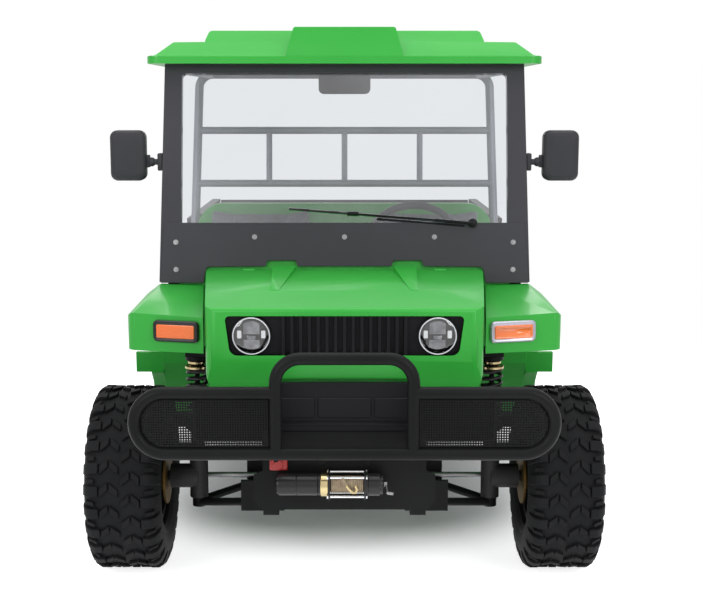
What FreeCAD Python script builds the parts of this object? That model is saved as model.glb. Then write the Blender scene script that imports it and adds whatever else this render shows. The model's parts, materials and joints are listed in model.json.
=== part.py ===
# Electric utility vehicle with an open two-seat cab and a tipping cargo bed.
#
# Frame: millimetres, +Z up. The nose faces -Y, so the driver's side is +X. The origin lies on the
# ground, at the centre of the vehicle's length and width.
import FreeCAD, Part
import Sketcher
import math
import os
import re

V = FreeCAD.Vector
os.makedirs("parts", exist_ok=True)
doc = FreeCAD.newDocument("utility_vehicle")
sheet = doc.addObject("Spreadsheet::Sheet", "sizes")

# Driving dimensions. Each row is a name, its value in millimetres or degrees, and what it is.
# A name that ends in _y counts from the front axle, so that the whole front keeps its form.
SIZES = [
    # overall
    ("front_axle", -960, "front axle in the frame's Y"),
    ("wheelbase", 2000, "from axle to axle"),
    ("front_reach", 640, "from the front axle to the bumper's foremost point"),
    ("rear_reach", 560, "from the rear axle to the closed tailgate's rear face"),
    ("half_track", 736.5, "wheel centre from the middle plane"),
    # wheels
    ("tyre_radius", 317.5, "over the lugs"),
    ("tyre_width", 254, "section width"),
    ("lug_depth", 14, "height of the tread lugs"),
    ("lug_count", 26, "pitches of the tread"),
    ("lug_width", 34, "shoulder lugs, along the tread"),
    ("belly_radius", 236, "where the tyre is widest"),
    ("rim_radius", 150, "bead seat"),
    ("rim_width", 190, "over the flanges"),
    ("rim_wall", 9, "barrel"),
    ("flange_height", 14, "rim flange above the bead seat"),
    ("disc_wall", 10, "wheel centre disc"),
    ("vent_radius", 15, "round vents in the wheel centre"),
    ("vent_circle", 104, "radius of the circle of vents"),
    ("brake_radius", 97, "front brake disc"),
    ("brake_inset", 120, "brake disc's inner face inboard of the wheel centre"),
    ("brake_wall", 8, "brake disc thickness"),
    ("hub_radius", 48, "front hub"),
    ("spindle_radius", 18, "stub axle"),
    ("bearing_gap", 1, "running gap on the stub axle"),
    ("drum_radius", 100, "rear brake drum"),
    ("drum_inset", 75, "rear brake drum's inner face inboard of the wheel centre"),
    # ladder frame
    ("rail_x", 230, "rail centre from the middle plane"),
    ("rail_width", 50, "rail"),
    ("rail_height", 80, "rail"),
    ("rail_low", 330, "underside of the rails under the cab"),
    ("kick_up", 150, "rise of the rails over the rear axle"),
    ("rail_front_y", -470, "front end of the rails"),
    ("kick_ahead", 400, "start of the rails' rise, ahead of the rear axle"),
    ("kick_length", 160, "length of the rise"),
    ("rail_behind", 440, "rear end of the rails, behind the rear axle"),
    ("cross_height", 50, "cross members"),
    ("cross_width", 50, "cross members"),
    # steering and front suspension
    ("kingpin_x", 510, "steering axis from the middle plane"),
    ("ball_joint_z", 238, "top of the lower arm's ball joint boss"),
    ("arm_pivot_x", 332, "lower arm pivot"),
    ("arm_pivot_z", 257, "lower arm pivot"),
    ("arm_spread", 110, "lower arm legs from the axle at the pivot"),
    ("arm_tube", 28, "lower arm legs, diameter"),
    ("steer_arm", 100, "steering arm, behind the steering axis"),
    ("rack_z", 290, "rack height"),
    ("rack_tube", 50, "rack housing diameter"),
    ("rack_rod", 20, "rack and tie rod diameter"),
    ("rack_bore", 20.6, "bore of the rack housing"),
    ("joint_gap", 5, "clearance of a moving joint"),
    ("strut_top_z", 748, "top of the strut's spring seat"),
    ("strut_low_z", 340, "lower end of the strut tube"),
    ("strut_tube", 46, "strut tube diameter"),
    ("spring_low_z", 500, "lower spring seat"),
    ("spring_outer", 78, "coil spring outer diameter"),
    ("spring_wire", 13, "coil spring wire diameter"),
    ("spring_turns", 9, "coil spring turns"),
    # bumper and winch
    ("bumper_tube", 38, "bumper tube diameter"),
    ("bumper_top_z", 758, "upper tube, centre line"),
    ("bumper_low_z", 571, "lower tube, centre line"),
    ("bumper_half", 628, "end bend, centre line from the middle plane"),
    ("hoop_top_z", 862, "centre hoop, centre line"),
    ("hoop_half", 206, "centre hoop legs from the middle plane"),
    ("hoop_bend", 75, "bend radius of the hoop"),
    ("screen_wall", 4, "bumper screens"),
    ("seat_gap", 0.3, "gap between pieces that seat on each other"),
    ("winch_plate", 6, "winch plate thickness"),
    ("winch_z", 446, "winch axis"),
    ("winch_radius", 34, "winch motor"),
    # cab floor and body
    ("floor_wall", 20, "floor pan"),
    ("floor_half", 700, "floor pan half width"),
    ("toe_y", 462, "foot of the toe board"),
    ("dash_wall_y", 330, "front wall of the cab"),
    ("wall", 8, "thickness of the moulded panels"),
    ("side_wall", 46, "thickness of the lower body sides"),
    ("cab_share", 0.5925, "front face of the rear bulkhead, as a share of the wheelbase"),
    ("bulkhead_wall", 30, "rear bulkhead"),
    ("bulkhead_half", 635, "rear bulkhead half width"),
    ("bulkhead_top_z", 1177, "top of the rear bulkhead"),
    ("bulkhead_round", 110, "top corners of the rear bulkhead"),
    ("deck_z", 690, "deck behind the seats and top of the seat box"),
    ("deck_length", 225, "deck behind the rear bulkhead's front face"),
    ("seat_share", 0.32, "front of the seat box, as a share of the wheelbase"),
    ("seat_half", 640, "seat box half width"),
    ("cushion_inner", 147, "inner edge of a seat"),
    ("cushion_outer", 574, "outer edge of a seat"),
    ("cushion_height", 110, "seat cushion"),
    ("cushion_round", 22, "edges of the seat cushions"),
    ("back_top_z", 1146, "top of the seat backs"),
    # nose and fenders
    ("nose_front_y", -465, "front face of the nose"),
    ("hood_rear_y", 295, "rear edge of the hood"),
    ("hood_front_half", 428, "nose half width"),
    ("hood_rear_half", 505, "hood half width at the windscreen"),
    ("hood_low_z", 716, "lower edge of the nose beside the arch"),
    ("hood_side_z", 936, "lower edge of the hood beside the fenders"),
    ("hood_front_z", 986, "hood top above the grille"),
    ("hood_crease_y", -250, "crease across the hood"),
    ("hood_crease_z", 1011, "crease across the hood"),
    ("ridge_in", 178, "raised ridge on the hood, inner edge at the windscreen"),
    ("ridge_out", 262, "raised ridge on the hood, outer edge at the windscreen"),
    ("hood_rear_z", 1004, "hood top at the windscreen"),
    ("hood_wall", 7, "hood shell"),
    ("arch_top_z", 764, "top of the arch under the nose"),
    ("arch_half", 205, "arch half width at its top"),
    ("grille_half", 369, "grille opening half width"),
    ("grille_low_z", 839, "grille opening"),
    ("grille_high_z", 963, "grille opening"),
    ("grille_inset", 26, "grille behind the nose's front face"),
    ("rib_width", 11, "grille ribs"),
    ("rib_pitch", 27, "grille ribs"),
    ("rib_count", 15, "grille ribs"),
    ("lamp_x", 287, "headlamp centre"),
    ("lamp_z", 901, "headlamp centre"),
    ("lamp_radius", 60, "headlamp glass"),
    ("fender_half", 706, "fender outer edge"),
    ("fender_low_z", 829, "fender lower edge"),
    ("fender_top_z", 948, "fender top"),
    ("fender_front_y", -380, "fender front face beside the nose"),
    ("fender_sweep", 62, "how far the fender's front face falls back at its outer edge"),
    ("hood_gap", 9, "gap between hood and fenders"),
    ("hood_corner", 40, "front corners of the nose, seen from above"),
    ("hood_brow", 16, "top front edge of the nose"),
    ("hinge_behind", 8, "hood hinge pin behind the hood's rear edge"),
    ("hinge_below", 4, "hood hinge pin below the hood's rear top edge"),
    ("hinge_pin", 5, "hood hinge pin radius"),
    ("hinge_x", 350, "hood hinge from the middle plane"),
    ("signal_x", 530, "front turn signal centre"),
    ("signal_z", 897, "front turn signal centre"),
    ("signal_half", 80, "turn signal bezel half width"),
    ("signal_height", 70, "turn signal bezel"),
    # windscreen, measured along its slope from the lower edge of the glass
    ("screen_y", 370, "lower edge of the glass"),
    ("screen_z", 1155, "lower edge of the glass"),
    ("screen_lean", 9.18, "lean of the windscreen in degrees"),
    ("glass_half", 600, "glass half width"),
    ("screen_sill", 44, "bar below the glass"),
    ("post_foot", 204, "posts below the glass"),
    ("post_foot_half", 680, "outer edge of the posts at the foot"),
    ("post_head_half", 660, "outer edge of the posts at the head"),
    ("screen_head", 33, "top bar"),
    ("post_depth", 44, "depth of posts and bars"),
    ("glass_wall", 6, "glass"),
    # cage and roof
    ("cage_tube", 38, "cage tube diameter"),
    ("cage_foot_x", 672, "rear hoop foot"),
    ("cage_foot_behind", 67, "rear hoop foot, behind the bulkhead's front face"),
    ("cage_pad", 34, "foot plates of the rear hoop, radius"),
    ("cage_head_x", 638, "rear hoop head"),
    ("cage_head_behind", 204, "rear hoop head, behind the bulkhead's front face"),
    ("cage_bend", 60, "bend radius of the cage"),
    ("guard_low_z", 1254, "lower bar of the load guard"),
    ("guard_share", 0.4676, "upper bar of the load guard, from its lower bar to the roof"),
    ("guard_bar_x", 332, "upright bars of the load guard"),
    ("roof_z", 1748, "underside of the roof's lip"),
    ("roof_half", 720, "roof lip half width"),
    ("roof_front_y", 376, "roof front edge"),
    ("roof_behind", 295, "roof rear edge, behind the bulkhead's front face"),
    ("roof_lip", 24, "thickness of the roof's lip"),
    ("roof_rise", 78, "top of the roof's shoulder above the lip's underside"),
    ("roof_wall", 9, "roof skin"),
    ("crown_rise", 50, "raised panels above the roof's shoulder"),
    ("crown_half", 524, "raised panel half width"),
    # rear axle and bed
    ("axle_tube", 76, "rear axle tube diameter"),
    ("case_radius", 105, "transaxle case"),
    ("motor_radius", 95, "drive motor"),
    ("motor_length", 250, "drive motor"),
    ("motor_ahead", 185, "drive motor ahead of the axle"),
    ("spring_x", 430, "leaf spring centre"),
    ("leaf_width", 50, "leaf spring width"),
    ("leaf_reach", 425, "spring eyes from the axle"),
    ("bed_gap", 15, "gap between the deck and the bed"),
    ("bed_half", 700, "bed half width"),
    ("bed_low_z", 760, "underside of the bed floor"),
    ("bed_top_z", 1090, "top of the bed sides"),
    ("bed_wall", 30, "bed sides"),
    ("bed_floor", 25, "bed floor"),
    ("bed_lip", 12, "rolled rim and stakes, proud of the bed sides"),
    ("lip_height", 28, "rolled rim of the bed"),
    ("stake_width", 50, "upright stakes on the bed sides"),
    ("stake_count", 5, "upright stakes on each bed side"),
    ("runner_height", 60, "runners under the bed"),
    ("pivot_behind", 400, "tipping axis, behind the rear axle"),
    ("pivot_radius", 12, "tipping pin"),
    ("gate_wall", 25, "tailgate"),
    ("gate_gap", 5, "gap round the tailgate"),
    # steering wheel
    ("gate_pin", 8, "tailgate pin radius"),
    ("wheel_x", 266, "steering wheel centre"),
    ("wheel_y", 640, "steering wheel centre"),
    ("wheel_z", 1085, "steering wheel centre"),
    ("column_rise", 35, "steering column above the horizontal, in degrees"),
    ("grip_circle", 165, "steering wheel rim, centre line"),
    ("grip_radius", 14, "steering wheel rim"),
    # mirrors
    ("mirror_out", 68, "door mirror's inner edge, beyond the head of the posts"),
    ("mirror_wide", 131, "door mirror"),
    ("mirror_low_z", 1323, "door mirror"),
    ("mirror_high", 186, "door mirror"),
    ("mirror_arm", 11, "mirror stub arm radius"),
    # sizes that follow others
    ("cab_rear_y", "=wheelbase * cab_share", "front face of the rear bulkhead"),
    ("seat_front_y", "=wheelbase * seat_share", "front of the seat box"),
    ("deck_rear_y", "=cab_rear_y + deck_length", "rear edge of the deck"),
    ("kick_front_y", "=wheelbase - kick_ahead", "where the rails start to rise"),
    ("rail_rear_y", "=wheelbase + rail_behind", "rear end of the rails"),
    ("bed_front_y", "=deck_rear_y + bed_gap", "front face of the bed"),
    ("bed_pivot_y", "=wheelbase + pivot_behind", "tipping axis"),
    ("cage_foot_y", "=cab_rear_y + cage_foot_behind", "rear hoop foot"),
    ("cage_head_y", "=cab_rear_y + cage_head_behind", "rear hoop head"),
    ("guard_high_z", "=guard_low_z + (roof_z - guard_low_z) * guard_share", "upper bar of the load guard"),
    ("roof_rear_y", "=cab_rear_y + roof_behind", "roof rear edge"),
    ("roof_dome_z", "=roof_z + roof_rise", "top of the roof's shoulder"),
    ("crown_z", "=roof_dome_z + crown_rise", "top of the raised panels"),
    ("post_high", "=(roof_z - seat_gap - screen_z - post_depth / 2 * sin(screen_lean)) / cos(screen_lean)",
     "posts above the lower edge of the glass, up to the roof"),
    ("glass_high", "=post_high - screen_head", "glass height"),
    ("mirror_x", "=post_head_half + mirror_out", "door mirror's inner edge"),
]
for row, (alias, value, meaning) in enumerate(SIZES, start=1):
    sheet.set(f"A{row}", meaning)
    sheet.set(f"B{row}", str(value))
    sheet.setAlias(f"B{row}", alias)
doc.recompute()


class Sizes:
    """Reads a driving dimension from the sheet by its name."""

    def __getattr__(self, alias):
        return float(sheet.get(alias))


S = Sizes()
NODES = {}


def bound(formula):
    """A formula of size names as one that the document follows."""
    return re.sub(r"\b[a-z_][a-z0-9_]*\b(?!\()", lambda word: "sizes." + word.group(), str(formula))


def from_axle(formula):
    """A place along the vehicle, given from the front axle."""
    return f"front_axle + {formula}"


def tie(item, prop, formula):
    item.setExpression(prop, bound(formula))


def block(name, x, y, z):
    """A box between pairs of formulas in the vehicle's frame."""
    item = doc.addObject("Part::Box", name)
    for side, axis, (low, high) in zip(("Length", "Width", "Height"), "xyz", (x, y, z)):
        tie(item, side, f"({high}) - ({low})")
        tie(item, "Placement.Base." + axis, low)
    return item


TURN = {"x": FreeCAD.Rotation(V(0, 1, 0), 90), "y": FreeCAD.Rotation(V(1, 0, 0), -90), "z": FreeCAD.Rotation()}


def rod(name, along, centre, ends, radius):
    """A round bar along one axis; centre gives the two other coordinates in X, Y, Z order."""
    item = doc.addObject("Part::Cylinder", name)
    item.Placement = FreeCAD.Placement(V(), TURN[along])
    others = [axis for axis in "xyz" if axis != along]
    tie(item, "Radius", radius)
    tie(item, "Height", f"({ends[1]}) - ({ends[0]})")
    tie(item, "Placement.Base." + along, ends[0])
    for axis, formula in zip(others, centre):
        tie(item, "Placement.Base." + axis, formula)
    return item


def shape(name, made):
    """A form that neither a sketched body nor a primitive gives."""
    item = doc.addObject("Part::Feature", name)
    item.Shape = made
    return item


def join(name, pieces):
    item = doc.addObject("Part::MultiFuse", name)
    item.Shapes = pieces
    return item


def group(name, pieces):
    item = doc.addObject("Part::Compound", name)
    item.Links = pieces
    return item


def common(name, pieces):
    item = doc.addObject("Part::MultiCommon", name)
    item.Shapes = pieces
    return item


def cut(name, base, tool):
    item = doc.addObject("Part::Cut", name)
    item.Base = base
    item.Tool = tool
    return item


def mirrored(name, source):
    """The same piece on the vehicle's other side."""
    item = doc.addObject("Part::Mirroring", name)
    item.Source = source
    item.Normal = V(1, 0, 0)
    return item


def both(name, source):
    return group(name, [source, mirrored(name + "_other", source)])


def node(name, item):
    item.Label = name
    NODES[name] = item
    return item


# For each sketch plane: its role in a body's origin and the direction its pads grow.
PLANES = {"xy": ("XY_Plane", 1), "xz": ("XZ_Plane", -1), "yz": ("YZ_Plane", 1)}


def sketch_outline(body, plane, outline, offset):
    """A closed outline of straight lines whose corners are pairs of formulas."""
    sketch = body.newObject("Sketcher::SketchObject", body.Name + "_outline")
    role = PLANES[plane][0]
    origin = [item for item in body.Origin.OriginFeatures if item.Role == role]
    sketch.AttachmentSupport = [(origin[0], "")]
    sketch.MapMode = "FlatFace"
    tie(sketch, "AttachmentOffset.Base.z", offset)
    corners = [V(value(u), value(w), 0) for u, w in outline]
    for index, corner in enumerate(corners):
        sketch.addGeometry(Part.LineSegment(corner, corners[(index + 1) % len(corners)]), False)
    for index in range(len(corners)):
        sketch.addConstraint(Sketcher.Constraint("Coincident", index, 2, (index + 1) % len(corners), 1))
    for index, pair in enumerate(outline):
        for kind, axis, formula in (("DistanceX", -2, pair[0]), ("DistanceY", -1, pair[1])):
            if formula == "0":
                sketch.addConstraint(Sketcher.Constraint("PointOnObject", index, 1, axis))
                continue
            number = value(formula)
            made = sketch.addConstraint(Sketcher.Constraint(kind, -1, 1, index, 1, number))
            tie(sketch, f"Constraints[{made}]", formula)
    return sketch


gauge = doc.addObject("App::FeaturePython", "gauge")
gauge.addProperty("App::PropertyFloat", "reading")


def value(formula):
    """What a formula comes to with the sheet's present values."""
    return float(gauge.evalExpression(bound(formula)))


def plate(name, plane, outline, low, high, rounds=()):
    """A body padded from an outline between two places across its plane.

    rounds holds pairs: the numbers of the outline's corners, and the radius they get.
    """
    body = doc.addObject("PartDesign::Body", name)
    grows = PLANES[plane][1]
    sketch = sketch_outline(body, plane, outline, low if grows > 0 else f"-({high})")
    pad = body.newObject("PartDesign::Pad", name + "_pad")
    pad.Profile = sketch
    tie(pad, "Length", f"({high}) - ({low})")
    sketch.Visibility = False
    last = pad
    for numbers, radius in rounds:
        doc.recompute()
        places = [(value(outline[number][0]), value(outline[number][1])) for number in numbers]
        chosen = [
            f"Edge{index}"
            for index, edge in enumerate(last.Shape.Edges, start=1)
            if runs_across(edge, plane, places)
        ]
        fillet = body.newObject("PartDesign::Fillet", name + "_round")
        fillet.Base = (last, chosen)
        tie(fillet, "Radius", radius)
        last = fillet
    return body


FLAT = {"xy": ("x", "y"), "xz": ("x", "z"), "yz": ("y", "z")}


def runs_across(edge, plane, places):
    """Whether an edge stands square on the plane at one of the places."""
    ends = [(getattr(v.Point, FLAT[plane][0]), getattr(v.Point, FLAT[plane][1])) for v in edge.Vertexes]
    if len(ends) < 2 or math.dist(ends[0], ends[1]) > 0.01:
        return False
    return any(math.dist(ends[0], place) < 0.01 for place in places)


def both_halves(half):
    """The outline of a symmetric piece from the corners of its +X half, lowest first."""
    other = [(f"-({u})", w) for u, w in reversed(half) if u != "0"]
    return list(half) + other


def bent_path(points, bend, closed=False):
    """Straight runs joined by tangent arcs of one bend radius."""
    count = len(points)
    edges = []
    joints = []
    for index, point in enumerate(points):
        if not closed and index in (0, count - 1):
            joints.append((point, point))
            continue
        back = (points[index - 1] - point).normalize()
        ahead = (points[(index + 1) % count] - point).normalize()
        half = back.getAngle(ahead) / 2
        reach = bend / math.tan(half)
        start = point + back * reach
        end = point + ahead * reach
        middle = point + (back + ahead).normalize() * (bend / math.sin(half) - bend)
        joints.append((start, end))
        edges.append(Part.Arc(start, middle, end).toShape())
    last = count if closed else count - 1
    for index in range(last):
        start = joints[index][1]
        end = joints[(index + 1) % count][0]
        if (end - start).Length > 0.01:
            edges.append(Part.LineSegment(start, end).toShape())
    return Part.Wire(Part.__sortEdges__(edges))


def tube(points, radius, bend=1.0, closed=False):
    """A round bar bent along a path."""
    path = bent_path(points, bend, closed)
    first = path.OrderedEdges[0]
    start = first.valueAt(first.FirstParameter)
    along = first.tangentAt(first.FirstParameter)
    if (path.OrderedVertexes[0].Point - start).Length > 0.01:
        start = first.valueAt(first.LastParameter)
        along = first.tangentAt(first.LastParameter)
    ring = Part.Wire(Part.Circle(start, along, radius).toShape())
    return path.makePipeShell([ring], True, False)


def bar(start, end, radius):
    """A straight round bar between two points."""
    along = end - start
    return Part.makeCylinder(radius, along.Length, start, along)


def turned(profile):
    """A solid turned about the X axis from pairs of place along it and radius."""
    corners = [V(along, 0, radius) for along, radius in profile]
    face = Part.Face(Part.makePolygon(corners + corners[:1]))
    return face.revolve(V(0, 0, 0), V(1, 0, 0), 360)


AXLE = S.front_axle


def at(x, y, z):
    """A point given from the front axle along the vehicle."""
    return V(x, AXLE + y, z)


RAIL_IN = "rail_x - rail_width / 2"
RAIL_OUT = "rail_x + rail_width / 2"
RAIL_TOP = "rail_low + rail_height"
REAR_TOP = "rail_low + rail_height + kick_up"
REAR_LOW = "rail_low + kick_up"
CAB_INSIDE = "floor_half - side_wall / 2"
FLOOR_TOP = "rail_low + rail_height + floor_wall"
PLATE_FRONT = "rail_front_y - winch_plate"


def span(half):
    return (f"-({half})", half)


def chassis_frame():
    """Ladder frame with kicked-up rear rails, cross members, outriggers and brackets."""
    side = [
        (from_axle("rail_front_y"), "rail_low"),
        (from_axle("kick_front_y"), "rail_low"),
        (from_axle("kick_front_y + kick_length"), REAR_LOW),
        (from_axle("rail_rear_y"), REAR_LOW),
        (from_axle("rail_rear_y"), REAR_TOP),
        (from_axle("kick_front_y + kick_length - rail_height / 2"), REAR_TOP),
        (from_axle("kick_front_y - rail_height / 2"), RAIL_TOP),
        (from_axle("rail_front_y"), RAIL_TOP),
    ]
    rail = plate("rail", "yz", side, RAIL_IN, RAIL_OUT)
    pieces = [rail, mirrored("rail_other", rail)]
    # Cross members: place from the front axle, underside, half length.
    low_cross = f"{RAIL_TOP} - cross_height"
    rows = [
        ("rail_front_y", low_cross, RAIL_IN),
        ("-25", low_cross, RAIL_IN),
        ("toe_y + 40", low_cross, f"{CAB_INSIDE} - seat_gap"),
        ("seat_front_y + 330", low_cross, f"{CAB_INSIDE} - seat_gap"),
        ("cab_rear_y + 120", low_cross, f"{CAB_INSIDE} - seat_gap"),
        ("wheelbase - leaf_reach - 25", f"{RAIL_TOP} + 10", "spring_x + leaf_width / 2"),
        ("wheelbase + leaf_reach - 15", f"{REAR_TOP} - 70", "spring_x + leaf_width / 2"),
    ]
    for number, (place, low, half) in enumerate(rows):
        y = (from_axle(place), from_axle(f"{place} + cross_width"))
        pieces.append(block(f"cross_{number}", span(half), y, (low, f"{low} + cross_height")))
    towers = plate("tower", "xz", [
        (RAIL_IN, RAIL_TOP),
        (RAIL_OUT, RAIL_TOP),
        (f"{RAIL_OUT} + 25", f"{RAIL_TOP} + 60"),
        ("kingpin_x - spring_outer / 2 - 15", "strut_top_z - 10"),
        ("kingpin_x - spring_outer / 2 - 15", "strut_top_z"),
        ("kingpin_x + 36", "strut_top_z"),
        ("kingpin_x + 36", "strut_top_z + 24"),
        ("kingpin_x - 70", "strut_top_z + 24"),
        (RAIL_IN, f"{RAIL_TOP} + 60"),
    ], from_axle("-38"), from_axle("38"))
    pieces += [towers, mirrored("tower_other", towers)]
    # Brackets at both ends of the lower arms' pivot tubes.
    for number, (low, high) in enumerate((("arm_spread + 20", "arm_spread + 32"),
                                          ("-arm_spread - 32", "-arm_spread - 20"))):
        ear = block(f"arm_ear_{number}", (RAIL_IN, "arm_pivot_x + 20"),
                    (from_axle(low), from_axle(high)), ("arm_pivot_z - 22", "rail_low + 12"))
        pieces += [ear, mirrored(f"arm_ear_other_{number}", ear)]
    # Rack housing under the second cross member.
    housing = rod("rack_tube_outer", "x", (from_axle("steer_arm"), "rack_z"), span("185"), "rack_tube / 2")
    saddle = block("rack_saddle", span(RAIL_OUT), (from_axle("steer_arm - 20"), from_axle("steer_arm + 20")),
                   ("rack_z", "rail_low + 15"))
    pieces += [housing, saddle]
    # Bed rests, tipping lugs and the rear bumper with its drawbar.
    for number, place in enumerate(("kick_front_y - 60", "wheelbase - 90")):
        low = RAIL_TOP if number == 0 else REAR_TOP
        rest = block(f"bed_rest_{number}", (RAIL_IN, RAIL_OUT), (from_axle(place), from_axle(f"{place} + 40")),
                     (low, "bed_low_z - runner_height - seat_gap"))
        pieces += [rest, mirrored(f"bed_rest_other_{number}", rest)]
    lug = plate("lug", "yz", [
        (from_axle("bed_pivot_y - 45"), f"{REAR_TOP} - 70"),
        (from_axle("bed_pivot_y + 40"), f"{REAR_TOP} - 70"),
        (from_axle("bed_pivot_y + 40"), REAR_TOP),
        (from_axle("bed_pivot_y + 24"), "bed_low_z - 15"),
        (from_axle("bed_pivot_y - 24"), "bed_low_z - 15"),
        (from_axle("bed_pivot_y - 45"), REAR_TOP),
    ], f"{RAIL_OUT}", f"{RAIL_OUT} + 22", [((3, 4), "20")])
    pieces += [lug, mirrored("lug_other", lug)]
    beam = block("rear_beam", span("bed_half - 60"), (from_axle("rail_rear_y"), from_axle("rail_rear_y + 40")),
                 (f"{REAR_LOW} - 20", f"{REAR_TOP} + 20"))
    drawbar = block("drawbar", span("40"), (from_axle("rail_rear_y - 120"), from_axle("rail_rear_y + 95")),
                    (f"{REAR_LOW} - 30", f"{REAR_LOW} - 12"))
    hanger = block("drawbar_hanger", span("30"), (from_axle("rail_rear_y - 10"), from_axle("rail_rear_y + 30")),
                   (f"{REAR_LOW} - 16", f"{REAR_LOW}"))
    pieces += [beam, drawbar, hanger]
    welded = join("frame_welded", pieces)
    pin = rod("pin_hole", "x", (from_axle("bed_pivot_y"), "bed_low_z - 40"), span("400"), "pivot_radius + 1.5")
    rack = rod("rack_hole", "x", (from_axle("steer_arm"), "rack_z"), span("400"), "rack_bore / 2")
    tow = rod("tow_hole", "z", ("0", from_axle("rail_rear_y + 70")),
              (f"{REAR_LOW} - 60", f"{REAR_LOW}"), "8")
    holes = join("frame_holes", [pin, rack, tow])
    node("chassis_frame", cut("frame_cut", welded, holes))


def under_screen(place):
    """The height of the windscreen frame's underside at a place along the vehicle."""
    return f"screen_z - screen_sill / cos(screen_lean) - ({place} - screen_y) * tan(screen_lean) - seat_gap"


def floor_and_walls():
    """Floor pan, toe board with the cab's front wall, and the lower body sides."""
    wall_top_y = "dash_wall_y + 22"
    y = (from_axle("toe_y"), from_axle("cab_rear_y + bulkhead_wall + 140"))
    node("floor_pan", block("floor", span("floor_half - side_wall / 2"), y, (RAIL_TOP, FLOOR_TOP)))
    path = [
        ("toe_y", FLOOR_TOP), ("toe_y - 110", f"{FLOOR_TOP} + 190"), ("dash_wall_y", "deck_z - 40"),
        ("dash_wall_y", "hood_side_z + 10"), (wall_top_y, under_screen(f"{wall_top_y} + wall")),
    ]
    back = [(f"{u} + wall", w) for u, w in reversed(path)]
    outline = [(from_axle(u), w) for u, w in path + back]
    wall = plate("front_wall", "yz", outline, *span("floor_half - side_wall / 2 - seat_gap"))
    corner = block("post_room", ("glass_half + 9", "floor_half"),
                   (from_axle("dash_wall_y - 20"), from_axle("dash_wall_y + 80")),
                   ("screen_z - post_foot - 8", "screen_z + 20"))
    pin_y = from_axle("hood_rear_y + hinge_behind")
    pin_z = "hood_rear_z - hinge_below"
    ends = ("hinge_x - 9", "hinge_x + 9")
    leaf = join("hinge_leaf", [
        rod("hinge_barrel", "x", (pin_y, pin_z), ends, "hinge_behind"),
        block("hinge_bracket", ends, (pin_y, from_axle("dash_wall_y + wall")), (f"{pin_z} - 8", f"{pin_z} - 1")),
    ])
    bore = rod("hinge_bore", "x", (pin_y, pin_z), span("hinge_x + 30"), "hinge_pin + seat_gap")
    cut_away = join("wall_hollows", [corner, mirrored("post_room_other", corner), bore])
    made = join("wall_with_hinges", [wall, leaf, mirrored("hinge_leaf_other", leaf)])
    node("cab_front_wall", cut("front_wall_cut", made, cut_away))
    arch = [
        ("toe_y + 12", f"{RAIL_TOP} - 30"),
        ("wheelbase - 395", f"{RAIL_TOP} - 30"),
        ("wheelbase - 395", "deck_z - 130"),
        ("deck_rear_y + 50", "deck_z"),
        ("cab_rear_y", "deck_z"),
        ("cab_rear_y - 20", "deck_z - 150"),
        ("cab_rear_y - 90", f"{FLOOR_TOP} + 45"),
        ("toe_y + 190", f"{FLOOR_TOP} + 45"),
        ("toe_y + 90", f"{FLOOR_TOP} + 90"),
        ("toe_y - 20", "deck_z"),
        ("dash_wall_y + 22", "deck_z"),
        ("dash_wall_y + 22", "deck_z - 80"),
        ("toe_y - 60", "deck_z - 125"),
    ]
    side = plate("body_side", "yz", [(from_axle(u), w) for u, w in arch],
                 "floor_half - side_wall / 2", "floor_half + side_wall / 2",
                 [((5, 6), "60"), ((8,), "60"), ((3, 9), "30")])
    flare = block("side_flare", ("floor_half", "floor_half + 79"),
                  (from_axle("dash_wall_y + 22"), from_axle("dash_wall_y + 44")), ("deck_z - 78", "deck_z - 2"))
    node("body_sides", both("sides", join("side_with_flare", [side, flare])))


def seats():
    """Seat box over the battery, two cushions and two backs, and the rear bulkhead."""
    y = (from_axle("seat_front_y"), from_axle("cab_rear_y"))
    outer = block("seat_box_outer", span("seat_half"), y, (FLOOR_TOP, "deck_z"))
    inner = block("seat_box_inner", span("seat_half - wall"),
                  (from_axle("seat_front_y + wall"), from_axle("cab_rear_y - wall")),
                  (f"{FLOOR_TOP} - 5", "deck_z - wall"))
    node("seat_box", cut("seat_box_shell", outer, inner))
    node("battery_pack", block("battery", span("420"), (from_axle("seat_front_y + 60"),
         from_axle("cab_rear_y - 60")), (FLOOR_TOP, f"{FLOOR_TOP} + 215")))
    cushion = plate("cushion", "yz", [
        (from_axle("seat_front_y + 12"), "deck_z + seat_gap"),
        (from_axle("cab_rear_y - 75"), "deck_z + seat_gap"),
        (from_axle("cab_rear_y - 75"), "deck_z + cushion_height - 18"),
        (from_axle("seat_front_y + 12"), "deck_z + cushion_height"),
    ], "cushion_inner", "cushion_outer", [((2, 3), "cushion_round")])
    node("seat_cushions", both("cushions", cushion))
    back = plate("backrest", "yz", [
        (from_axle("cab_rear_y - 130"), "deck_z + cushion_height + 8"),
        (from_axle("cab_rear_y - 50"), "deck_z + cushion_height + 8"),
        (from_axle("cab_rear_y - seat_gap"), "back_top_z"),
        (from_axle("cab_rear_y - 62"), "back_top_z"),
    ], "cushion_inner", "cushion_outer", [((3,), "cushion_round")])
    node("seat_backs", both("backrests", back))
    panel = plate("bulkhead_panel", "xz", both_halves([
        ("bulkhead_half", FLOOR_TOP), ("bulkhead_half", "bulkhead_top_z")]),
        from_axle("cab_rear_y"), from_axle("cab_rear_y + bulkhead_wall"), [((1, 2), "bulkhead_round")])
    deck = block("rear_deck", span("floor_half - side_wall / 2"),
                 (from_axle("cab_rear_y + bulkhead_wall - 5"), from_axle("deck_rear_y")), ("deck_z - 20", "deck_z"))
    node("rear_bulkhead", join("bulkhead_and_deck", [panel, deck]))


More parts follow.
